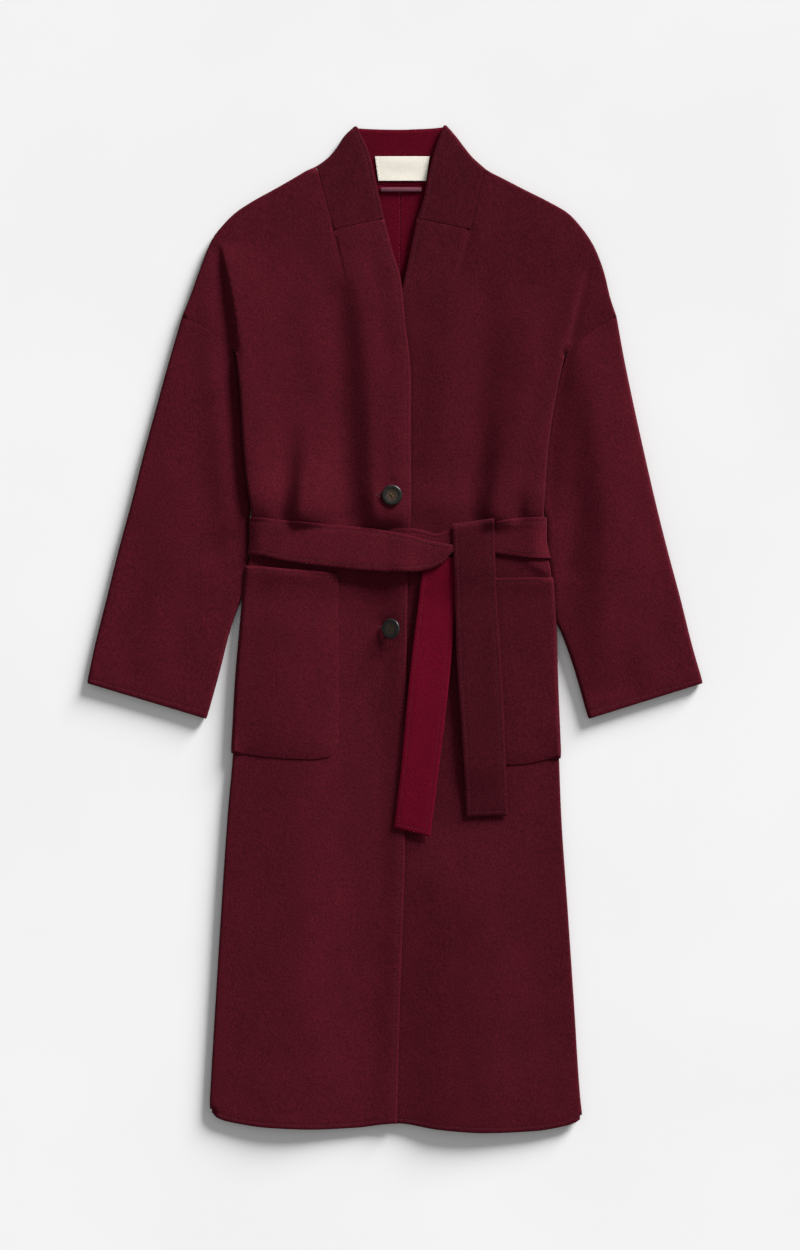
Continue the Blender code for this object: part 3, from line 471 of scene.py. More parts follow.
# Colours, as linear light
WOOL_DARK = (0.039, 0.0026, 0.0062, 1.0)
WOOL_PALE = (0.100, 0.0083, 0.0170, 1.0)
CRIMSON_DARK = (0.062, 0.0005, 0.0056, 1.0)
CRIMSON_PALE = (0.112, 0.0018, 0.0128, 1.0)
THREAD_DARK = (0.050, 0.0040, 0.0090, 1.0)
THREAD_PALE = (0.092, 0.0080, 0.0160, 1.0)
BUTTON_THREAD_DARK = (0.090, 0.055, 0.030, 1.0)
BUTTON_THREAD_PALE = (0.210, 0.145, 0.085, 1.0)
HORN_DARK = (0.006, 0.006, 0.0055, 1.0)
HORN_PALE = (0.018, 0.016, 0.014, 1.0)
HORN_BROWN = (0.085, 0.048, 0.026, 1.0)
CREAM_DARK = (0.84, 0.79, 0.68, 1.0)
CREAM_PALE = (0.97, 0.93, 0.83, 1.0)
MAUVE_DARK = (0.110, 0.022, 0.040, 1.0)
MAUVE_PALE = (0.190, 0.052, 0.080, 1.0)
FLOOR_DARK = (0.875, 0.875, 0.88, 1.0)
FLOOR_PALE = (0.90, 0.90, 0.90, 1.0)
SHEEN_TINT = (0.85, 0.30, 0.38, 1.0)

# Levels of the wool's soft clouds, and the distances from a button's middle where its brown ends and starts
CLOUD_LEVELS = (0.90, 1.08)
HORN_MIDDLE = (0.0075, 0.0055)

# Camera straight above the coat: what it sees of the floor over the picture's height
CAMERA_HEIGHT = 3.5
VIEW_HEIGHT = 1.4625
VIEW_MIDDLE = (0.00585, 0.0033)
SENSOR = 36.0

# Light: one soft lamp from the upper right and an even fill
SUN_BEARING = 53.0
SUN_HEIGHT = 17.5
SUN_SPREAD = 22.0
SUN_STRENGTH = 7.15
FILL = 0.325


def ramp(share):
    """Soft step from 0 to 1."""
    share = np.clip(share, 0.0, 1.0)
    return share * share * (3.0 - 2.0 * share)


def curve(at, stations, values):
    """Smooth curve through a table's values that never overshoots, held level beyond its ends."""
    at = np.clip(at, stations[0], stations[-1])
    rates = np.diff(values) / np.diff(stations)
    before, after = rates[:-1], rates[1:]
    both = before + after
    inner = np.where(before * after > 0, 2 * before * after / np.where(both, both, 1), 0)
    slopes = np.concatenate((rates[:1], inner, rates[-1:]))
    low = np.clip(np.searchsorted(stations, at) - 1, 0, len(stations) - 2)
    step = stations[low + 1] - stations[low]
    share = (at - stations[low]) / step
    rest = 1.0 - share
    return (values[low] * (1 + 2 * share) * rest ** 2 + slopes[low] * step * share * rest ** 2
            + values[low + 1] * (3 - 2 * share) * share ** 2
            - slopes[low + 1] * step * rest * share ** 2)


def read(table, at, column, by="d"):
    return curve(at, table[by], table[column])


def stations(start, end, pitch, through=()):
    """Even stops from start to end that also stop at the given places."""
    kept = [stop for stop in through if start + STOP_APART < stop < end - STOP_APART]
    stops = [start, *kept, end]
    parts = [np.linspace(low, high, max(1, round((high - low) / pitch)) + 1)[:-1]
             for low, high in zip(stops, stops[1:])]
    return np.append(np.concatenate(parts), end)


BELT_STOPS = (BELT_BACK_TOP - BELT_MARGIN - BELT_RAMP, BELT_BACK_TOP - BELT_MARGIN,
              BELT_BACK_BOTTOM + BELT_MARGIN, BELT_BACK_BOTTOM + BELT_MARGIN + BELT_RAMP)


def back_lift(d):
    """Height of the back where it passes over the belt below it."""
    into = (d - BELT_STOPS[0]) / BELT_RAMP
    out = (BELT_STOPS[3] - d) / BELT_RAMP
    return (WALL + SEAM) * ramp(into) * ramp(out)


def inside_loop(points, loop):
    """Whether each point lies inside a closed loop."""
    found = np.zeros(len(points), bool)
    for (ax, ay), (bx, by) in zip(loop, np.roll(loop, -1, axis=0)):
        if ay != by:
            crosses = (points[:, 1] < ay) != (points[:, 1] < by)
            found ^= crosses & (points[:, 0] < ax + (points[:, 1] - ay) * (bx - ax) / (by - ay))
    return found


def spread(line, pitch):
    """Points along a line at an even pitch."""
    run = run_of(line)
    at = np.linspace(0.0, run[-1], max(1, round(run[-1] / pitch)) + 1)
    return np.column_stack((np.interp(at, run, line[:, 0]), np.interp(at, run, line[:, 1])))


def armhole_line(side, shares):
    """Sleeve seam across the top of the sleeve, from the shoulder edge to the underarm."""
    x = np.interp(shares, (0, 1), ARMHOLE[side + "_x"])
    d = np.interp(shares, (0, 1), ARMHOLE[side + "_d"]) - ARMHOLE_BOW * np.sin(math.pi * shares)
    return np.column_stack((x, d))


def edge_line(table, side, stops):
    return np.column_stack((read(table, stops, side), stops))


def hem_line(start, end, short=0.0):
    x = stations(start, end, EDGE_PITCH) if start < end else stations(end, start, EDGE_PITCH)[::-1]
    return np.column_stack((x, read(HEM, x, "d", "x") - short))


def soft_troughs(table, x, d):
    """Depth at a point of all the creases of a table."""
    total = np.zeros(np.shape(x))
    for x0, d0, x1, d1, width, depth0, depth1 in zip(*table.values()):
        along = np.array((x1 - x0, d1 - d0))
        share = np.clip(((x - x0) * along[0] + (d - d0) * along[1]) / along.dot(along), 0.0, 1.0)
        away = np.hypot(x - x0 - share * along[0], d - d0 - share * along[1])
        total = total + (depth0 + (depth1 - depth0) * share) * np.exp(-(away / width) ** 2)
    return total


def waves(x, d):
    """Slow unevenness of the cloth at a point."""
    total = np.zeros(np.shape(x))
    for x_length, d_length, x_shift, d_shift, height in zip(*WAVES.values()):
        total = total + (height * np.sin(2 * math.pi * x / x_length + x_shift)
                         * np.sin(2 * math.pi * d / d_length + d_shift))
    return total


def bent(lines, x, d):
    """Rise at a point of all the lopsided ridges and creases given."""
    total = np.zeros(np.shape(x))
    for line in lines:
        across = x - read(line, d, "x")
        reach = np.where(across < 0, read(line, d, "left"), read(line, d, "right"))
        total = total + read(line, d, "rise") * np.exp(-(across / reach) ** 2)
    return total


def loft(d):
    return read(LOFT, d, "height")


def front_height(side, x, d):
    """Outer face of a front; the left one lies lower under the lap of the right one."""
    height = (loft(d) + waves(x, d) - soft_troughs(FOLDS[side], x, d)
              - soft_troughs(CREASES[side], x, d) + bent(BENDS[side], x, d))
    inside = read(FRONT_EDGE, d, "right") - x
    if side == "left":
        return height - LAP_STEP * ramp(inside / LAP_RUN)
    standing = LAP_RISE * ramp((d - LAP_RISE_TOP) / (V_FOOT - LAP_RISE_TOP))
    return height + standing * ramp(1.0 - inside / LAP_RISE_RUN)


def cover_height(side, x, d):
    """What a belt lies on: the front with its folds bridged."""
    return np.maximum(loft(d), front_height(side, x, d))


def edge_shape(kind, away):
    """How far the outer face drops towards an edge of a kind, and how much thinner the cloth gets."""
    if kind == "free":
        rounding = EDGE_ROUND * np.clip(1.0 - away / EDGE_ROUND_RUN, 0.0, 1.0) ** 2
        groove = STITCH_DEPTH * np.exp(-((away - STITCH_IN) / STITCH_HALF) ** 2)
        return rounding + groove, 2 * rounding + groove
    if kind == "low":
        return LOW_DIP * np.exp(-away / LOW_RUN), np.zeros(np.shape(away))
    if kind == "pressed":
        dip = PRESSED_DIP * np.exp(-away / PRESSED_RUN)
        return dip, dip
    if kind == "proud":
        dip = PROUD_DIP * np.clip(1.0 - away / PROUD_RUN, 0.0, 1.0) ** 2
        return dip, dip
    return np.zeros(np.shape(away)), np.zeros(np.shape(away))


def distance(points, line):
    """Distance of each point from a line through other points."""
    nearest = np.full(len(points), np.inf)
    for start, end in zip(line, line[1:]):
        run = end - start
        share = np.clip((points - start) @ run / max(run @ run, TINY_RUN), 0.0, 1.0)
        nearest = np.minimum(nearest, np.hypot(*(points - start - share[:, None] * run).T))
    return nearest


def outward_of(plan):
    """Outward directions along a line that is run anticlockwise."""
    run = np.gradient(plan, axis=0)
    run /= np.linalg.norm(run, axis=1)[:, None]
    return np.column_stack((run[:, 1], -run[:, 0]))


Edge = namedtuple("Edge", "points kind roll free_at", defaults=("plain", 0.0, ()))
Cloth = namedtuple("Cloth", "points faces thin stitches")


def panel(edges, height, pitch, out=0.0, base=None, angles=ROLL_ANGLES, lines=()):
    """Cloth cut to an outline, run anticlockwise, with its rolled edges turned under."""
    loop, rolls, rims = [], [], []
    for edge in edges:
        plan = np.array(edge.points, float) * (1, -1)
        outward = outward_of(plan)
        if edge.roll:
            plan = plan - edge.roll * outward
            rolls.append((len(loop), plan, outward, edge))
        elif loop and np.hypot(*(plan[0] - loop[-1])) < SEAM:
            plan, outward = plan[1:], outward[1:]
        rims.append((edge.kind, plan, outward))
        loop.extend(plan)
    if np.hypot(*(loop[0] - loop[-1])) < SEAM:
        loop.pop()
    loop = np.array(loop)
    closed = np.vstack((loop, loop[:1]))

    def away_from(kind, points):
        found = [distance(points, plan) for name, plan, _ in rims if name == kind and len(plan) > 1]
        return np.min(found, axis=0) if found else np.full(len(points), np.inf)

    def shape(points):
        drop, thin = np.zeros(len(points)), np.zeros(len(points))
        for kind in SHAPED_KINDS:
            more, thinner = edge_shape(kind, away_from(kind, points))
            drop, thin = drop + more, thin + thinner
        return drop, thin

    def inset(plan, outward, depth):
        ring = plan - depth * outward
        ring = ring[inside_loop(ring, loop)]
        return ring[distance(ring, closed) > depth * ROW_CLEAR]

    marks = [inset(plan, outward, depth) for kind, plan, outward in rims for depth in RINGS[kind]]
    for line in lines:
        ring = line * (1, -1)
        ring = ring[inside_loop(ring, loop)]
        marks.append(ring[distance(ring, closed) > RINGS["low"][-1]])
    low, high = loop.min(axis=0), loop.max(axis=0)
    across, down = np.meshgrid(np.arange(low[0], high[0], pitch),
                               np.arange(low[1], high[1], pitch * math.sqrt(0.75)))
    across[1::2] += pitch / 2
    lattice = np.column_stack((across.ravel(), down.ravel()))
    lattice = lattice[inside_loop(lattice, loop)]
    lattice = lattice[distance(lattice, closed) > pitch * CLEAR_OF_OUTLINE]
    for kind in SHAPED_KINDS:
        lattice = lattice[away_from(kind, lattice) > RINGS[kind][-1] + pitch * CLEAR_OF_ROW]
    for line in lines:
        lattice = lattice[distance(lattice, line * (1, -1)) > pitch * CLEAR_OF_CREASE]
    flat = np.vstack([loop] + marks + [lattice])
    links = [(index, (index + 1) % len(loop)) for index in range(len(loop))]
    result = delaunay_2d_cdt([Vector(point) for point in flat], links, [], INSIDE_ONLY, SAME_POINT)
    place = {source: index for index, sources in enumerate(result[3]) for source in sources}
    flat = np.array([tuple(point) for point in result[0]])
    faces = [tuple(face) for face in result[2]]
    drop, thin = shape(flat)
    points = [np.column_stack((flat * (1, -1), height(flat[:, 0], -flat[:, 1]) + out - drop))]
    thins, count = [thin], len(flat)
    for first, plan, outward, edge in rolls:
        ends = np.full(len(plan), np.inf)
        for stop in edge.free_at:
            ends = np.minimum(ends, np.abs(stop + plan[:, 1]))
        drop, thin = edge_shape("free", ends)
        top = height(plan[:, 0], -plan[:, 1])
        floor = base(-plan[:, 1])
        before = [place[first + index] for index in range(len(plan))]
        stops = [(math.radians(angle), 0.0) for angle in angles[1:]]
        if angles[-1] == -90.0:
            stops.append((math.radians(-90.0), RETURN))
        for angle, tuck in stops:
            reach = (edge.roll + out - drop) * math.cos(angle) - tuck
            ring = plan + outward * reach[:, None]
            rise = (top + floor) / 2 + ((top - floor) / 2 + out - drop) * math.sin(angle)
            points.append(np.column_stack((ring * (1, -1), rise)))
            thins.append(thin)
            after = range(count, count + len(ring))
            faces.extend((before[i + 1], before[i], after[i], after[i + 1])
                         for i in range(len(ring) - 1))
            before = after
            count += len(ring)
    stitches = []
    for kind, plan, outward in rims:
        if kind == "free" and len(plan) > 2:
            row = inset(plan, outward, STITCH_IN)
            rise = height(row[:, 0], -row[:, 1]) + out - shape(row)[0]
            stitches.append(np.column_stack((row * (1, -1), rise)))
    return Cloth(np.vstack(points), faces, np.concatenate(thins), stitches)


def rim_stops(length, pitch, start, end):
    """Distances along a length, close together inside an edge with a shape of its own."""
    near = np.array((0.0,) + RINGS[start])
    far = length - np.array((0.0,) + RINGS[end])[::-1]
    between = np.linspace(near[-1], far[0], max(2, math.ceil((far[0] - near[-1]) / pitch) + 1))[1:-1]
    return np.concatenate((near, between, far))


def run_of(line):
    """Distance along a line at each of its points."""
    return np.append(0.0, np.cumsum(np.linalg.norm(np.diff(line, axis=0), axis=1)))


def ribbon(one, two, extra, sides, ends, pitch=STRIP_PITCH, wide=None):
    """Fine rows of plan points between two edge lines, an extra value and the shape of the edges."""
    run = run_of((one + two) / 2)
    stops = rim_stops(run[-1], pitch, *ends)
    one = np.column_stack([curve(stops, run, column) for column in one.T])
    two = np.column_stack([curve(stops, run, column) for column in two.T])
    width = np.linalg.norm(two - one, axis=1)[:, None]
    wide = wide or width.mean()
    share = rim_stops(wide, pitch, *sides)[None, :] / wide
    plan = one[:, None, :] + (two - one)[:, None, :] * share[..., None]
    drop, thin = np.zeros(plan.shape[:2]), np.zeros(plan.shape[:2])
    from_start = np.broadcast_to(stops[:, None], plan.shape[:2])
    for kind, away in ((sides[0], share * width), (sides[1], (1 - share) * width),
                       (ends[0], from_start), (ends[1], run[-1] - from_start)):
        more, thinner = edge_shape(kind, away)
        drop, thin = np.maximum(drop, more), np.maximum(thin, thinner)
    return plan, curve(stops, run, extra)[:, None], drop, thin


def grid(rows, thin, up=True, stitched=(), probe=0):
    """Cloth through rows of points; the first face of the probed row looks up, or down."""
    rows = np.asarray(rows, float)
    count, across = rows.shape[:2]
    one, two, three = rows[probe, 0], rows[probe, 1], rows[probe + 1, 0]
    turns = (two[0] - one[0]) * (three[1] - one[1]) - (two[1] - one[1]) * (three[0] - one[0])
    flip = (turns < 0) != up
    index = np.arange(count * across).reshape(count, across)
    corners = (index[:-1, :-1], index[:-1, 1:], index[1:, 1:], index[1:, :-1])
    faces = np.stack(corners, axis=-1).reshape(-1, 4)
    if flip:
        faces = faces[:, ::-1]
    stitches = [rows[:, column] for column in stitched]
    return Cloth(rows.reshape(-1, 3), [tuple(int(i) for i in face) for face in faces],
                 np.asarray(thin).ravel(), stitches)


def to_model(points):
    points = np.asarray(points, float)
    return np.column_stack((points[:, 0], LENGTH / 2 - points[:, 1], points[:, 2])) * MM


def add_piece(name, points, faces, materials):
    """A named, smooth-shaded mesh that rides on the coat."""
    mesh = bpy.data.meshes.new(name)
    mesh.from_pydata([tuple(point) for point in points], [], faces)
    mesh.polygons.foreach_set("use_smooth", [True] * len(mesh.polygons))
    for material in materials:
        mesh.materials.append(material)
    piece = bpy.data.objects.new(name, mesh)
    bpy.context.scene.collection.objects.link(piece)
    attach(piece, "root")
    return piece


def dress(node, cloth, face, back, wall=WALL):
    """The thin shell that stands for a node, with its sewn lines."""
    piece = add_piece(node + "_cloth", to_model(cloth.points), cloth.faces, (face, back))
    rim = piece.vertex_groups.new(name="rim")
    for index, thin in enumerate(np.clip(cloth.thin / WALL, 0.0, MOST_THINNED)):
        if thin > LEAST_THINNED:
            rim.add([index], float(thin), "REPLACE")
    shell = piece.modifiers.new("wall", "SOLIDIFY")
    shell.thickness = wall * MM
    shell.offset = -1.0
    shell.use_quality_normals = True
    shell.vertex_group = rim.name
    shell.invert_vertex_group = True
    shell.material_offset = 1
    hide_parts(node)
    if cloth.stitches:
        thread = CRIMSON_THREAD if face in (CRIMSON, CRIMSON_TAIL_PAINTED_LIGHT) else THREAD
        stitch_rows(node + "_stitches", cloth.stitches, thread)
    return piece


def beads(centres, alongs, length, radius):
    """Joined short round-ended stitches at given places and directions."""
    stops, girth = BEAD_STOPS * length, BEAD_GIRTH * radius
    turn = np.arange(BEAD_SIDES) * 2 * math.pi / BEAD_SIDES
    up = np.array((0.0, 0.0, 1.0))
    sides = np.cross(alongs, up)
    sides /= np.linalg.norm(sides, axis=1)[:, None]
    rises = np.cross(sides, alongs)
    ring = (centres[:, None, None, :] + alongs[:, None, None, :] * stops[None, :, None, None]
            + sides[:, None, None, :] * (girth[:, None] * np.cos(turn))[None, :, :, None]
            + rises[:, None, None, :] * (girth[:, None] * np.sin(turn))[None, :, :, None])
    each = len(girth) * len(turn)
    faces = []
    for bead in range(len(centres)):
        base = bead * each
        for row in range(base, base + each - BEAD_SIDES, BEAD_SIDES):
            for j in range(BEAD_SIDES):
                k = (j + 1) % BEAD_SIDES
                faces.append((row + j, row + k, row + BEAD_SIDES + k, row + BEAD_SIDES + j))
        faces.append(tuple(range(base + BEAD_SIDES - 1, base - 1, -1)))
        faces.append(tuple(range(base + each - BEAD_SIDES, base + each)))
    return ring.reshape(-1, 3), faces


def stitch_rows(name, lines, thread):
    """Stitches sunk in the sewn lines of a piece."""
    centres, alongs = [], []
    for line in lines:
        run = run_of(line)
        at = np.arange(STITCH_PITCH / 2, run[-1], STITCH_PITCH)
        ahead = [np.column_stack([np.interp(at + step, run, column) for column in line.T])
                 for step in (-STITCH_LENGTH / 2, STITCH_LENGTH / 2)]
        way = ahead[1] - ahead[0]
        long = np.linalg.norm(way, axis=1)
        sound = long > STITCH_LENGTH / 2
        centres.append(((ahead[0] + ahead[1]) / 2)[sound])
        alongs.append(way[sound] / long[sound, None])
    points, faces = beads(np.vstack(centres), np.vstack(alongs), STITCH_LENGTH, STITCH_RADIUS)
    return add_piece(name, to_model(points), faces, (thread,))


def add_node(tree, kind, values, links, **settings):
    """A shader node with its settings, the values of its sockets and the links into them."""
    node = tree.nodes.new(kind)
    for name, value in settings.items():
        setattr(node, name, value)
    for name, value in values.items():
        node.inputs[name].default_value = value
    for name, source in links.items():
        tree.links.new(source, node.inputs[name])
    return node


def texture_space(tree, stretch=(1.0, 1.0, 1.0)):
    """Coordinates in metres on the object, stretched along its axes."""
    place = tree.nodes.new("ShaderNodeTexCoord").outputs["Object"]
    return add_node(tree, "ShaderNodeMapping", {"Scale": stretch}, {"Vector": place}).outputs["Vector"]


def noise(tree, space, scale, detail=2.0, roughness=0.5):
    """Plain noise at so many lumps a metre."""
    values = {"Scale": scale, "Detail": detail, "Roughness": roughness}
    return add_node(tree, "ShaderNodeTexNoise", values, {"Vector": space}).outputs["Fac"]


def blend_colors(tree, factor, low, high, start=0.35, end=0.65):
    """One colour up to the start, another from the end on and a blend between them."""
    node = add_node(tree, "ShaderNodeValToRGB", {}, {"Fac": factor})
    for element, position, color in zip(node.color_ramp.elements, (start, end), (low, high)):
        element.position = position
        element.color = color
    return node.outputs["Color"]


def bump(tree, shader, factor, depth, strength, below=None):
    """Small bumps, on top of larger ones where there are some below."""
    links = {"Height": factor}
    if below is not None:
        links["Normal"] = below
    node = add_node(tree, "ShaderNodeBump", {"Distance": depth, "Strength": strength}, links)
    tree.links.new(node.outputs["Normal"], shader.inputs["Normal"])
    return node.outputs["Normal"]


def new_material(name, roughness, specular):
    """A material with its node tree and its shader."""
    material = bpy.data.materials.new(name)
    material.use_nodes = True
    shader = material.node_tree.nodes["Principled BSDF"]
    shader.inputs["Roughness"].default_value = roughness
    shader.inputs["Specular IOR Level"].default_value = specular
    return material, material.node_tree, shader


def felted_wool(name, dark, pale, painted_light_level=1.0):
    """Short felted nap: fine flecks, soft clouds and a brushed fuzz that catches light at its edges."""
    material, tree, shader = new_material(name, 0.95, 0.05)
    space = texture_space(tree, (1.0, 0.6, 1.0))
    flecks = blend_colors(tree, noise(tree, space, 760.0, 4.0, 0.7), dark, pale, 0.34, 0.68)
    # A level below one paints shade over the whole cloth, and a level above one paints light
    greys = [(level * painted_light_level, level * painted_light_level, level * painted_light_level, 1.0) for level in CLOUD_LEVELS]
    clouds = blend_colors(tree, noise(tree, space, 34.0, 3.0, 0.6), *greys, 0.3, 0.7)
    cloudy = add_node(tree, "ShaderNodeMix", {"Factor": 1.0}, {"A": flecks, "B": clouds},
                      data_type="RGBA", blend_type="MULTIPLY")
    tree.links.new(cloudy.outputs["Result"], shader.inputs["Base Color"])
    lumps = bump(tree, shader, noise(tree, space, 260.0, 3.0, 0.6), 0.0009, 0.35)
    bump(tree, shader, noise(tree, space, 1300.0, 3.0, 0.65), 0.0004, 0.5, lumps)
    shader.inputs["Sheen Weight"].default_value = 0.05
    shader.inputs["Sheen Roughness"].default_value = 0.45
    shader.inputs["Sheen Tint"].default_value = SHEEN_TINT
    return material


def woven(name, dark, pale, thread, roughness):
    """Narrow woven tape or satin: fine crossing ribs."""
    material, tree, shader = new_material(name, roughness, 0.3)
    space = texture_space(tree)
    ribs = [add_node(tree, "ShaderNodeTexWave", {"Scale": thread, "Distortion": 0.6}, {"Vector": space},
                     bands_direction=way).outputs["Fac"] for way in ("X", "Y")]
    weave = add_node(tree, "ShaderNodeMath", {}, {0: ribs[0], 1: ribs[1]}, operation="MULTIPLY")
    color = blend_colors(tree, weave.outputs["Value"], dark, pale, 0.0, 0.8)
    tree.links.new(color, shader.inputs["Base Color"])
    bump(tree, shader, weave.outputs["Value"], 0.0002, 0.5)
    return material


def horn():
    """Polished dark horn with a brown, streaked middle."""
    material, tree, shader = new_material("horn_polished", 0.36, 0.32)
    space = texture_space(tree, (1.0, 3.5, 1.0))
    body = blend_colors(tree, noise(tree, space, 160.0, 4.0, 0.6), HORN_DARK, HORN_PALE)
    streaks = blend_colors(tree, noise(tree, space, 420.0, 4.0, 0.65), HORN_DARK, HORN_BROWN, 0.38, 0.6)
    place = tree.nodes.new("ShaderNodeTexCoord").outputs["Object"]
    flat = add_node(tree, "ShaderNodeVectorMath", {1: (1.0, 1.0, 0.0)}, {0: place}, operation="MULTIPLY")
    radius = add_node(tree, "ShaderNodeVectorMath", {}, {0: flat.outputs["Vector"]}, operation="LENGTH")
    middle = add_node(tree, "ShaderNodeMapRange", {"From Min": HORN_MIDDLE[0], "From Max": HORN_MIDDLE[1]},
                      {"Value": radius.outputs["Value"]})
    links = {"Factor": middle.outputs["Result"], "A": body, "B": streaks}
    mix = add_node(tree, "ShaderNodeMix", {}, links, data_type="RGBA")
    tree.links.new(mix.outputs["Result"], shader.inputs["Base Color"])
    bump(tree, shader, noise(tree, space, 700.0, 2.0), 0.0001, 0.25)
    return material


def spun(name, dark, pale):
    """Twisted sewing thread."""
    material, tree, shader = new_material(name, 0.7, 0.3)
    space = texture_space(tree)
    color = blend_colors(tree, noise(tree, space, 1500.0, 2.0), dark, pale)
    tree.links.new(color, shader.inputs["Base Color"])
    bump(tree, shader, noise(tree, space, 2500.0, 2.0), 0.0001, 0.4)
    return material


WOOL = felted_wool("wool_burgundy", WOOL_DARK, WOOL_PALE)
# Painted shade: a darker copy of the wool for the left front and the left pocket
WOOL_LEFT_PAINTED_SHADE = felted_wool("wool_burgundy_left_painted_shade", WOOL_DARK, WOOL_PALE, LEFT_PAINTED_SHADE)
# Painted shade: a darker copy of the wool for the over tail
WOOL_TAIL_PAINTED_SHADE = felted_wool("wool_burgundy_tail_painted_shade", WOOL_DARK, WOOL_PALE, TAIL_OVER_PAINTED_SHADE)
# Painted shade: a darker copy of the wool for the whole collar
WOOL_COLLAR_PAINTED_SHADE = felted_wool("wool_burgundy_collar_painted_shade", WOOL_DARK, WOOL_PALE, COLLAR_PAINTED_SHADE)
CRIMSON = felted_wool("wool_crimson", CRIMSON_DARK, CRIMSON_PALE)
# Painted light: a lighter copy of the crimson for the under tail
CRIMSON_TAIL_PAINTED_LIGHT = felted_wool("wool_crimson_tail_painted_light", CRIMSON_DARK, CRIMSON_PALE, TAIL_UNDER_PAINTED_LIGHT)
WOOL_OF = {"right": WOOL, "left": WOOL_LEFT_PAINTED_SHADE}
HORN = horn()
SATIN = woven("label_satin", CREAM_DARK, CREAM_PALE, 900.0, 0.55)
TAPE = woven("loop_tape_weave", MAUVE_DARK, MAUVE_PALE, 700.0, 0.6)
THREAD = spun("sewing_thread", THREAD_DARK, THREAD_PALE)
CRIMSON_THREAD = spun("crimson_thread", CRIMSON_DARK, CRIMSON_PALE)
BUTTON_THREAD = spun("button_thread", BUTTON_THREAD_DARK, BUTTON_THREAD_PALE)
CREAM_THREAD = spun("label_thread", CREAM_DARK, CREAM_PALE)


def mirrored(side, edges):
    """Edges of the left side are run the other way round."""
    if side == "left":
        return [edge._replace(points=edge.points[::-1]) for edge in edges[::-1]]
    return edges


def crisp_lines(side):
    """Rows of points along both flanks of each crisp crease."""
    found = []
    for line in BENDS[side]:
        left, right = line["left"][0], line["right"][0]
        if min(left, right) < CRISP:
            stops = np.arange(line["d"][0], min(line["d"][-1], CRISP_FOOT), CRISP_PITCH)
            offsets = np.concatenate((-left * CRISP_SHARES, (0.0,), right * CRISP_SHARES))
            found += [np.column_stack((read(line, stops, "x") + offset, stops))
                      for offset in offsets[np.abs(offsets) < CRISP_FAR]]
    return found


def side_stops(side):
    return stations(SIDE_TOP[side], SIDE_END[side], EDGE_PITCH, BELT_STOPS)


def front(side):
    """A front with its lower collar band, rolled at the shoulder and the side."""
    sign = SIGN[side]
    edge_stops = stations(FRONT_EDGE["d"][0], HEM_AT_FRONT_EDGE, EDGE_PITCH, (V_FOOT,))
    neck_stops = stations(NECK_SEAM_TOP[side], NECK_SEAM_FOOT, EDGE_PITCH)
    shoulder_stops = stations(SHOULDER_TOP[side], SLEEVE_SEAM_TOP, EDGE_PITCH)
    seam = np.vstack((edge_line(FRONT_EDGE, side, edge_stops[:1]),
                      edge_line(NECK_SEAM, side, neck_stops[-1:])))
    hem_out = read(SIDE, SIDE_END[side], side) - sign * EDGE_ROLL
    edges = mirrored(side, [
        Edge(hem_line(hem_out, FRONT_EDGE[side][-1]), "free"),
        Edge(edge_line(FRONT_EDGE, side, edge_stops)[::-1], "free"),
        Edge(spread(seam, EDGE_PITCH), "low"),
        Edge(edge_line(NECK_SEAM, side, neck_stops)[::-1], "low"),
        Edge(edge_line(SHOULDER, side, shoulder_stops), roll=EDGE_ROLL),
        Edge(armhole_line(side, FRONT_ARMHOLE), "low"),
        Edge(edge_line(SIDE, side, side_stops(side)), roll=EDGE_ROLL, free_at=(SIDE_END[side],))])
    cloth = panel(edges, lambda x, d: front_height(side, x, d), FRONT_PITCH,
                  base=lambda d: back_lift(d) + WALL + SEAM, lines=crisp_lines(side))
    return dress("front_" + side, cloth, WOOL_OF[side], CRIMSON)


def centre_back(d):
    return np.interp(d, (BACK_NECK["d"].max(), HEM_AT_CENTRE_BACK), (CENTRE_BACK_TOP, CENTRE_BACK_HEM))


def back(side):
    """Half of the back, flat on the surface but for the rise over the belt."""
    sign = SIGN[side]
    half_seam = sign * SEAM / 2
    stops = stations(BACK_SIDE_TOP, BACK_SIDE_FOOT, EDGE_PITCH, BELT_STOPS)
    side_x = read(SIDE, stops, side) - sign * read(BACK_INSET, stops, side)
    shoulder_stops = stations(BACK_SHOULDER_TOP, BACK_SHOULDER_FOOT, EDGE_PITCH)
    shoulder_x = read(SHOULDER, shoulder_stops, side) - sign * BACK_SHOULDER_INSET
    neck_ends = (BACK_NECK["x"][0 if sign < 0 else -1], CENTRE_BACK_TOP + half_seam)
    neck_x = stations(min(neck_ends), max(neck_ends), EDGE_PITCH)
    neck = np.column_stack((neck_x, read(BACK_NECK, neck_x, "d", "x") + SEAM))
    hem_end = HEM_AT_CENTRE_BACK - BACK_HEM_SHORT
    centre_stops = stations(neck[-1 if sign < 0 else 0, 1], hem_end, EDGE_PITCH, BELT_STOPS)
    armhole = armhole_line(side, BACK_ARMHOLE) - (0, 2 * SEAM)
    edges = [
        Edge(hem_line(side_x[-1], centre_back(HEM_AT_CENTRE_BACK) + half_seam, BACK_HEM_SHORT), "free"),
        Edge(np.column_stack((centre_back(centre_stops) + half_seam, centre_stops))[::-1], "proud"),
        Edge(neck[::-1] if sign < 0 else neck, "proud"),
        Edge(np.column_stack((shoulder_x, shoulder_stops))),
        Edge(armhole),
        Edge(np.column_stack((side_x, stops)))]
    cloth = panel(mirrored(side, edges), lambda x, d: back_lift(d) + WALL, BACK_PITCH)
    return dress("back_" + side, cloth, CRIMSON, WOOL)


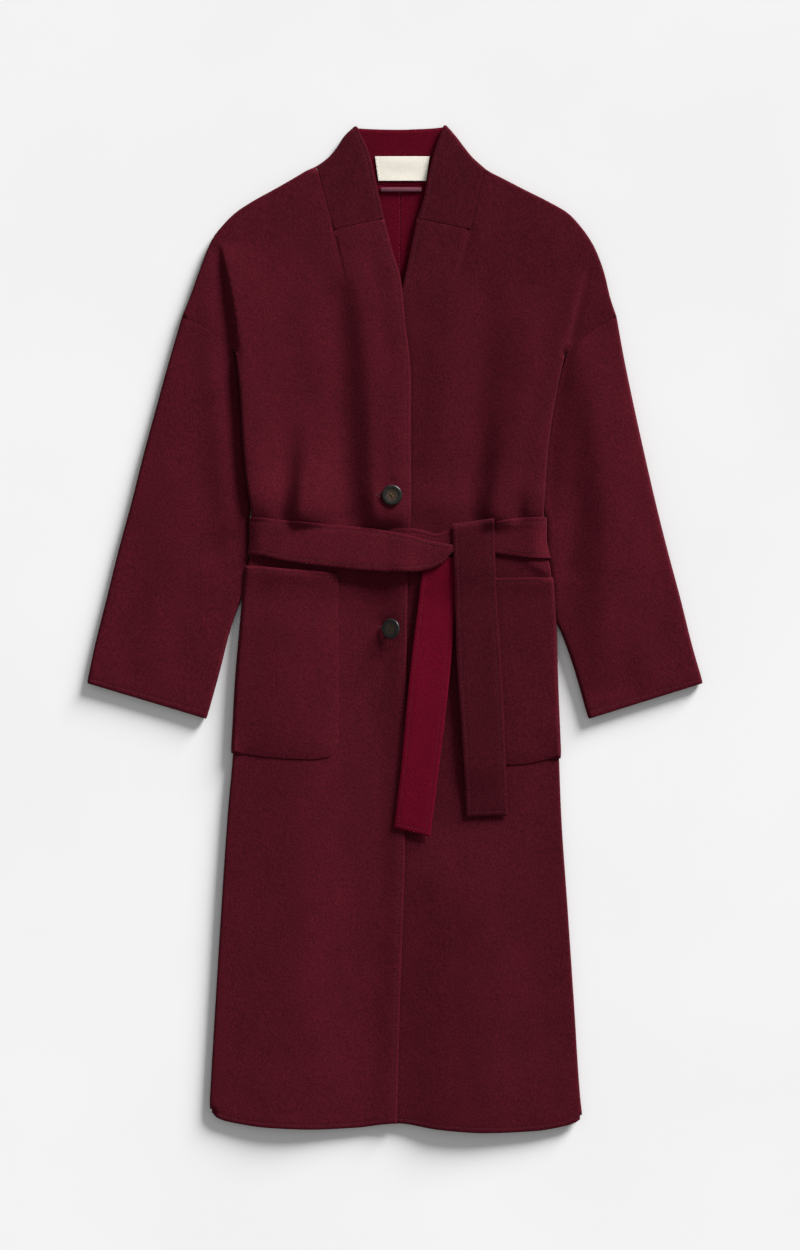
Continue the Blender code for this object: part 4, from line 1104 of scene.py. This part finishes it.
def sleeve(side):
    """A flattened tube from the sleeve seam to the cuff, with its seam under the inner edge."""
    number = np.arange(len(SLEEVE_ROWS["outer"]), dtype=float)
    run = run_of(np.column_stack((read(SLEEVE_OUTER, SLEEVE_ROWS["outer"], side), SLEEVE_ROWS["outer"])))
    stops = rim_stops(run[-1], SLEEVE_PITCH, "low", "free")
    at = np.interp(stops, run, number)
    head = armhole_line(side, np.array((0.0, 1.0))) - (0, HEAD_LAP)
    first = np.array([(read(table, row[0], side), row[0]) for table, row in
                      ((SLEEVE_OUTER, SLEEVE_ROWS["outer"]), (SLEEVE_INNER, SLEEVE_ROWS["inner"]))])
    rise = np.radians(ROLL_ANGLES)
    seam_drop, seam_thin = edge_shape("low", stops)
    cuff_drop, cuff_thin = edge_shape("free", run[-1] - stops)
    rows, thins = [], []
    for row, drop, thin in zip(at, seam_drop + cuff_drop, seam_thin + cuff_thin):
        outer_d = curve(row, number, SLEEVE_ROWS["outer"])
        inner_d = curve(row, number, SLEEVE_ROWS["inner"])
        outer = np.array((read(SLEEVE_OUTER, outer_d, side), outer_d))
        inner = np.array((read(SLEEVE_INNER, inner_d, side), inner_d))
        near = max(0.0, 1.0 - row)
        outer = outer + (head[0] - first[0]) * near
        inner = inner + (head[1] - first[1]) * near
        width = np.linalg.norm(outer - inner)
        tight = np.interp(inner_d, SLEEVE_TIGHT["d"], SLEEVE_TIGHT[side])
        tops = np.linspace(tight, width - SLEEVE_ROLL, SLEEVE_ACROSS + 1)
        up = np.column_stack((tight * (1 - np.cos(rise[::-1])), (1 + np.sin(rise[::-1])) / 2))
        down = np.column_stack((width - SLEEVE_ROLL * (1 - np.cos(rise)), (1 + np.sin(rise)) / 2))
        over = np.column_stack((tops[1:-1], np.ones(SLEEVE_ACROSS - 1)))
        tuck = SLEEVE_ROLL + TUCK
        low = np.linspace(tops[-2], tuck + SEAM, SLEEVE_ACROSS // 2)
        under = np.column_stack((low, np.zeros(len(low))))
        section = np.vstack(((tuck, 0.0), up, over, down, under))
        share = (section[:, :1] + drop * np.sign(width / 2 - section[:, :1])
                 * (np.abs(section[:, :1] - width / 2) > width / 2 - SLEEVE_ROLL)) / width
        plan = inner + (outer - inner) * share
        plan[:, 1] -= (ARMHOLE_BOW * max(0.0, 1.0 - row / SLEEVE_BOWED_ROWS)
                       * np.sin(math.pi * np.clip(section[:, 0] / width, 0, 1)))
        x, d = plan.T
        crown = (read(SLEEVE_LOFT, d, "height") - soft_troughs(FOLDS[side], x, d)
                 - soft_troughs(SLEEVE_CREASES[side], x, d) + waves(x, d)
                 + bent(SLEEVE_BENDS[side], x, d))
        rows.append(np.column_stack((plan, drop + section[:, 1] * (crown - 2 * drop))))
        thins.append(np.full(len(plan), thin))
    cloth = grid(rows, thins, up=False, probe=len(rows) // 2)
    sewn = np.argmin(np.abs(run[-1] - stops - STITCH_IN))
    cloth = cloth._replace(stitches=[np.array(rows[sewn])])
    return dress("sleeve_" + side, cloth, WOOL, CRIMSON)


def collar():
    """One strip round the neck: a leaf over each front, the folds and the leaf below at the back."""
    share = rim_stops(COLLAR_WIDTH, COLLAR_PITCH, "proud", "free") / COLLAR_WIDTH
    tops, rows, thins = {}, [], []

    def bend(plan, side, near):
        out = np.array(COLLAR_FOLD_OUT[side]) * (1, -1)
        return plan + (near[:, None] * read(COLLAR_BEND, share, side, "share"))[..., None] * out

    def leaf(neck, free, ends):
        plan, _, drop, thin = ribbon(neck, free, np.zeros(len(neck)), ("proud", "free"), ends,
                                     COLLAR_PITCH, COLLAR_WIDTH)
        from_end = np.exp(-np.arange(len(plan))[::-1] * COLLAR_PITCH / COLLAR_BEND_RUN)
        return plan, drop, thin, from_end

    def fold(side, angles):
        line, drop, thin = (part[-1] for part in tops[side])
        out = COLLAR_FOLD_OUT[side]
        middle, half = (line[:, 2] + drop) / 2, (line[:, 2] - drop) / 2
        for angle in np.radians(angles):
            reach = (COLLAR_ROLL - drop) * math.cos(angle)
            rows.append(np.column_stack((line[:, 0] + out[0] * reach, line[:, 1] - out[1] * reach,
                                         middle + half * math.sin(angle))))
            thins.append(thin)

    for side, table in COLLAR_TOP.items():
        inward = JOIN if side == "right" else -JOIN
        neck = np.column_stack((read(NECK_SEAM, table["neck_d"], side) + inward, table["neck_d"]))
        free = np.column_stack((table["free_x"], table["free_d"]))
        plan, drop, thin, near = leaf(neck, free, ("proud", "plain"))
        plan = bend(plan, side, near)
        height = loft(plan[..., 1]) + waves(plan[..., 0], plan[..., 1]) + COLLAR_PROUD - drop
        tops[side] = np.dstack((plan, height)), drop, thin
    neck_x = COLLAR_BACK["neck_x"]
    neck_d = read(BACK_NECK, neck_x, "d", "x") + SEAM - JOIN
    ends = {side: (read(NECK_SEAM, table["neck_d"][-1], side), table["neck_d"][-1], table["free_x"][-1],
                   table["free_d"][-1]) for side, table in COLLAR_TOP.items()}
    middle = np.column_stack((neck_x, neck_d, COLLAR_BACK["free_x"], COLLAR_BACK["free_d"]))
    around = np.vstack((ends["right"], middle, ends["left"]))
    plan, drop, thin, near = leaf(around[:, :2], around[:, 2:], ("plain", "plain"))
    plan = bend(bend(plan, "left", near), "right", near[::-1])
    rows.extend(tops["right"][0])
    thins.extend(tops["right"][2])
    fold("right", ROLL_ANGLES[1:-1])
    rows.extend(np.dstack((plan, drop)))
    thins.extend(thin)
    fold("left", ROLL_ANGLES[-2:0:-1])
    rows.extend(tops["left"][0][::-1])
    thins.extend(tops["left"][2][::-1])
    return dress("collar", grid(rows, thins, stitched=(-1 - SEWN_ROW,)), WOOL_COLLAR_PAINTED_SHADE, CRIMSON)


def pocket(side):
    """A patch moved out from the front's own points, round the side edge and open at the top."""
    sign = SIGN[side]
    top, bottom = POCKET_TOP[side], POCKET_BOTTOM[side]
    top_line = smooth_line(np.column_stack((top["x"], top["d"])))
    bottom_line = smooth_line(np.column_stack((bottom["x"], bottom["d"])))
    inner = spread(np.vstack((bottom_line[-1], top_line[-1])), EDGE_PITCH)
    stops = side_stops(side)
    ends = (top["d"][0], bottom["d"][0])
    between = stops[(stops > ends[0] + STOP_APART) & (stops < ends[1] - STOP_APART)]
    side_edge = np.concatenate((ends[:1], between, ends[1:]))
    edges = [Edge(bottom_line[1:], "pressed"), Edge(inner, "pressed"), Edge(top_line[::-1][:-1], "free"),
             Edge(edge_line(SIDE, side, side_edge), roll=EDGE_ROLL, free_at=ends)]

    def height(x, d):
        mouth = np.exp(-(d - top["d"][0]) / POCKET_GAPE_RUN)
        off_side = ramp(sign * (top["x"][0] - x) / POCKET_GAPE_RUN)
        return front_height(side, x, d) + POCKET_GAPE[side] * mouth * off_side

    cloth = panel(mirrored(side, edges), height, FRONT_PITCH, out=WALL + SEAM, angles=POCKET_ANGLES,
                  base=lambda d: back_lift(d) + WALL + SEAM)
    return dress("pocket_" + side, cloth, WOOL_OF[side], CRIMSON)


def smooth_line(points):
    """Fine points on a smooth curve through a few."""
    run = run_of(points)
    stops = stations(0.0, run[-1], EDGE_PITCH)
    return np.column_stack([curve(stops, run, column) for column in points.T])


def lines_of(table, *names):
    """Two edge lines of a strip from its table's columns."""
    return (np.column_stack((table[names[0]], table[names[1]])),
            np.column_stack((table[names[2]], table[names[3]])))


def on_front(side, plan, rise):
    """Rows of a strip's points at a rise off the front and what lies on it."""
    return np.dstack((plan, cover_height(side, plan[..., 0], plan[..., 1]) + rise))


def belt_waist(side):
    """Belt from the knot across one front and round the side edge to the back."""
    sign = SIGN[side]
    table = BELT_WAIST[side]
    one, two = lines_of(table, "x", "top", "x", "bottom")
    plan, lift, drop, thin = ribbon(one, two, table["lift"], ("free", "free"), ("plain", "plain"))
    x, d = plan[..., 0], plan[..., 1]
    lower = (d - d[:, :1]) / (d[:, -1:] - d[:, :1])
    lift = lift + lower * read(BELT_TILT, x, "rise", "x")
    rows = list(on_front(side, plan, lift + WALL - drop))
    thins = list(thin)
    last, inward = rows[-1], drop[-1]
    grip = EDGE_ROLL + BELT_GRIP + WALL - inward
    line = read(SIDE, last[:, 1], side) - sign * EDGE_ROLL
    middle, half = (last[:, 2] + inward) / 2, (last[:, 2] - inward) / 2
    for angle in np.radians(ROLL_ANGLES[3:]):
        rows.append(np.column_stack((line + sign * grip * math.cos(angle), last[:, 1],
                                     middle + half * math.sin(angle))))
        thins.append(thin[-1])
    rows.append(np.column_stack((line - sign * TUCK, last[:, 1], inward)))
    thins.append(thin[-1])
    cloth = grid(rows, thins, stitched=(SEWN_ROW, -1 - SEWN_ROW))
    return dress("belt_waist_" + side, cloth, WOOL, CRIMSON)


def belt_back():
    """Belt below the back, flat on the surface."""
    d = np.array((BELT_BACK_TOP, BELT_BACK_BOTTOM))
    right = read(SIDE, d, "right") + EDGE_ROLL + TUCK + SEAM
    left = read(SIDE, d, "left") - EDGE_ROLL - TUCK - SEAM
    one, two = (np.array(((right[row], d[row]), (left[row], d[row]))) for row in (0, 1))
    plan, _, drop, thin = ribbon(one, two, np.zeros(2), ("free", "free"), ("plain", "plain"))
    rows = np.dstack((plan, drop))
    cloth = grid(rows, thin, up=False, stitched=(SEWN_ROW, -1 - SEWN_ROW))
    return dress("belt_back", cloth, WOOL, CRIMSON)


def belt_knot():
    """Second layer of the tied belt, which shows above the waist stretch."""
    one, two = lines_of(BELT_KNOT, "x", "top", "x", "bottom")
    plan, lift, drop, thin = ribbon(one, two, BELT_KNOT["lift"], ("free", "plain"), ("plain", "free"))
    rows = on_front("right", plan, lift + WALL - drop)
    return dress("belt_knot", grid(rows, thin), WOOL, CRIMSON)


def tail(name, table, side, face, reverse):
    """A hanging end of the belt on the fronts."""
    one, two = lines_of(table, "left_x", "left_d", "right_x", "right_d")
    plan, lift, drop, thin = ribbon(one, two, table["lift"], ("free", "free"), ("proud", "free"))
    rows = on_front(side, plan, lift + WALL - drop)
    cloth = grid(rows, thin, stitched=(SEWN_ROW, -1 - SEWN_ROW))
    foot = np.array(rows[-1 - SEWN_ROW])[SEWN_ROW:-SEWN_ROW]
    return dress(name, cloth._replace(stitches=cloth.stitches + [foot]), face, reverse)


def button(name, index):
    """A turned horn button with four holes, two bars of thread and the shank that holds it."""
    x, d, lean, rise = (column[index] for column in BUTTONS.values())
    lean = math.radians(lean)
    reach = BUTTON_RADIUS * math.sin(lean)
    middle = float(front_height("right", np.array(x), np.array(d))) + rise + reach
    build = bmesh.new()
    profile = [build.verts.new((radius * MM, 0.0, height * MM))
               for radius, height in zip(*BUTTON_SECTION.values())]
    rings = [build.edges.new(pair) for pair in zip(profile, profile[1:])]
    bmesh.ops.spin(build, geom=profile + rings, axis=(0, 0, 1), cent=(0, 0, 0),
                   steps=BUTTON_SEGMENTS, angle=2 * math.pi, use_merge=True)
    bmesh.ops.remove_doubles(build, verts=build.verts, dist=SAME_CORNER)
    bmesh.ops.recalc_face_normals(build, faces=build.faces)
    holes = bmesh.new()
    spots = [(HOLE_OFFSET * math.cos(turn), HOLE_OFFSET * math.sin(turn))
             for turn in np.radians((0, 90, 180, 270))]
    for spot in spots:
        bmesh.ops.create_cone(holes, cap_ends=True, segments=HOLE_SEGMENTS, radius1=HOLE_RADIUS * MM,
                              radius2=HOLE_RADIUS * MM, depth=4 * BUTTON_DEPTH * MM,
                              matrix=Matrix.Translation((spot[0] * MM, spot[1] * MM, 0.0)))
    place = (Matrix.Translation((x * MM, (LENGTH / 2 - d) * MM, middle * MM))
             @ Matrix.Rotation(-lean, 4, "Y"))
    piece = drilled(name + "_turned", build, holes)
    piece.matrix_world = place
    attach(piece, "root")
    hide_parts(name)
    ends = np.array([(*spot, BUTTON_FACE) for spot in spots])
    bars = np.array(((ends[1] + ends[2]) / 2, (ends[3] + ends[0]) / 2))
    ways = np.array((ends[2] - ends[1], ends[0] - ends[3]))
    length = np.linalg.norm(ways[0])
    points, faces = beads(bars, ways / length, length + 2 * THREAD_RADIUS, THREAD_RADIUS)
    foot = np.array((0.0, 0.0, -rise / 2 - reach / 2))
    upright = np.array(((0.0, SHANK_LEAN, 1.0),)) / math.hypot(SHANK_LEAN, 1.0)
    shank, shank_faces = beads(np.array((foot,)), upright, abs(2 * foot[2]) + WALL, SHANK_RADIUS)
    points = np.vstack((points, shank))
    faces += [tuple(index + len(points) - len(shank) for index in face) for face in shank_faces]
    thread = add_piece(name + "_thread", points * MM, faces, (BUTTON_THREAD,))
    thread.matrix_world = place
    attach(thread, "root")


def drilled(name, body, holes):
    """A horn body with holes through it."""
    meshes = []
    for part in (body, holes):
        mesh = bpy.data.meshes.new(name)
        part.to_mesh(mesh)
        part.free()
        meshes.append(mesh)
    piece = bpy.data.objects.new(name, meshes[0])
    cutter = bpy.data.objects.new(name + "_cutter", meshes[1])
    for made in (piece, cutter):
        bpy.context.scene.collection.objects.link(made)
    cut = piece.modifiers.new("holes", "BOOLEAN")
    cut.operation = "DIFFERENCE"
    cut.solver = "EXACT"
    cut.object = cutter
    ready = piece.evaluated_get(bpy.context.evaluated_depsgraph_get())
    piece.data = bpy.data.meshes.new_from_object(ready)
    piece.modifiers.clear()
    bpy.data.objects.remove(cutter, do_unlink=True)
    piece.data.materials.append(HORN)
    piece.data.shade_smooth()
    piece.data.set_sharp_from_angle(angle=math.radians(BUTTON_SHARP))
    return piece


def buttonholes():
    """Slits worked with close stitches on the right front, behind the buttons."""
    centres, ways = [], []
    for x0, x1, d in zip(*BUTTONHOLES.values()):
        for side in (-1, 1):
            x = np.arange(x0, x1, PURL_PITCH)
            down = np.full(len(x), d + side * (SLIT_HALF + PURL_LENGTH / 2))
            centres.append(np.column_stack((x, down, front_height("right", x, down))))
            ways.append(np.tile((0.0, 1.0, 0.0), (len(x), 1)))
        bar = np.array(((x0, d, float(front_height("right", np.array(x0), np.array(d)))),))
        centres.append(bar)
        ways.append(np.array(((0.0, 1.0, 0.0),)))
    points, faces = beads(np.vstack(centres), np.vstack(ways), PURL_LENGTH, PURL_RADIUS)
    return add_piece("buttonholes", to_model(points), faces, (THREAD,))


def neck_label():
    """Blank woven label, caught down at its two ends."""
    one, two = lines_of(LABEL_ROWS, "left", "d", "right", "d")
    down, across = LABEL_DOWN[:, None, None], LABEL_ACROSS[None, :, None]
    left = one[0] + (one[1] - one[0]) * down
    right = two[0] + (two[1] - two[0]) * down
    plan = left + (right - left) * across
    wave = LABEL_LEVEL + LABEL_WAVE * np.sin(LABEL_WAVES * 2 * math.pi * down[..., 0])
    sag = LABEL_RISE * np.sin(math.pi * across[..., 0]) * wave
    rows = np.dstack((plan, WALL + SEAM + LABEL_WALL + sag))
    dress("neck_label", grid(rows, np.zeros(rows.shape[:2])), SATIN, SATIN, LABEL_WALL)
    ends = [rows[:, column] for column in LABEL_SEWN]
    stitch_rows("neck_label_stitches", ends, CREAM_THREAD)


def hanger_loop():
    """Mauve tape over the back neck seam, caught at both ends."""
    x = stations(LOOP_ROWS["x"][0], LOOP_ROWS["x"][-1], LOOP_PITCH)
    rise = read(LOOP_ROWS, x, "rise", "x")
    d = np.linspace(LOOP_TOP, LOOP_BOTTOM, LOOP_ACROSS)
    crown = LOOP_CROWN * np.sin(math.pi * np.linspace(0, 1, len(d)))
    rows = [np.column_stack((np.full(len(d), at), d, WALL + SEAM + LOOP_WALL + up + crown))
            for at, up in zip(x, rise)]
    cloth = grid(rows, np.zeros((len(x), len(d))))
    return dress("hanger_loop", cloth, TAPE, TAPE, LOOP_WALL)


def floor():
    """Pale, plain surface that the coat lies on."""
    bpy.ops.mesh.primitive_plane_add(size=FLOOR_SIZE, location=(0, 0, -FLOOR_BELOW * MM))
    plane = bpy.context.object
    plane.name = "floor"
    material, tree, shader = new_material("floor_paper", 0.9, 0.1)
    color = blend_colors(tree, noise(tree, texture_space(tree), 3.0, 3.0), FLOOR_DARK, FLOOR_PALE)
    tree.links.new(color, shader.inputs["Base Color"])
    plane.data.materials.append(material)


def light():
    """A broad soft lamp from the upper right, and an even pale fill."""
    lamp = bpy.data.lights.new("window", "SUN")
    lamp.energy = SUN_STRENGTH
    lamp.angle = math.radians(SUN_SPREAD)
    sun = bpy.data.objects.new("window", lamp)
    bearing, rise = math.radians(SUN_BEARING), math.radians(SUN_HEIGHT)
    level = math.cos(rise)
    toward = Vector((level * math.cos(bearing), level * math.sin(bearing), math.sin(rise)))
    sun.rotation_euler = toward.to_track_quat("Z", "Y").to_euler()
    bpy.context.scene.collection.objects.link(sun)
    world = bpy.data.worlds.new("fill")
    world.use_nodes = True
    world.node_tree.nodes["Background"].inputs["Color"].default_value = (1.0, 1.0, 1.0, 1.0)
    world.node_tree.nodes["Background"].inputs["Strength"].default_value = FILL
    bpy.context.scene.world = world
    bpy.context.scene.view_settings.view_transform = "Standard"


def camera():
    """Straight above, as in the photograph."""
    lens = bpy.data.cameras.new("above")
    lens.sensor_width = SENSOR
    lens.lens = SENSOR * CAMERA_HEIGHT / VIEW_HEIGHT
    eye = bpy.data.objects.new("above", lens)
    eye.location = (*VIEW_MIDDLE, CAMERA_HEIGHT)
    bpy.context.scene.collection.objects.link(eye)
    bpy.context.scene.camera = eye


for side in ("right", "left"):
    back(side)
    front(side)
    sleeve(side)
    pocket(side)
    belt_waist(side)
collar()
belt_back()
belt_knot()
tail("belt_tail_under", TAIL_UNDER, "right", CRIMSON_TAIL_PAINTED_LIGHT, WOOL)
tail("belt_tail_over", TAIL_OVER, "left", WOOL_TAIL_PAINTED_SHADE, CRIMSON)
button("button_upper", 0)
button("button_lower", 1)
buttonholes()
neck_label()
hanger_loop()
floor()
light()
camera()
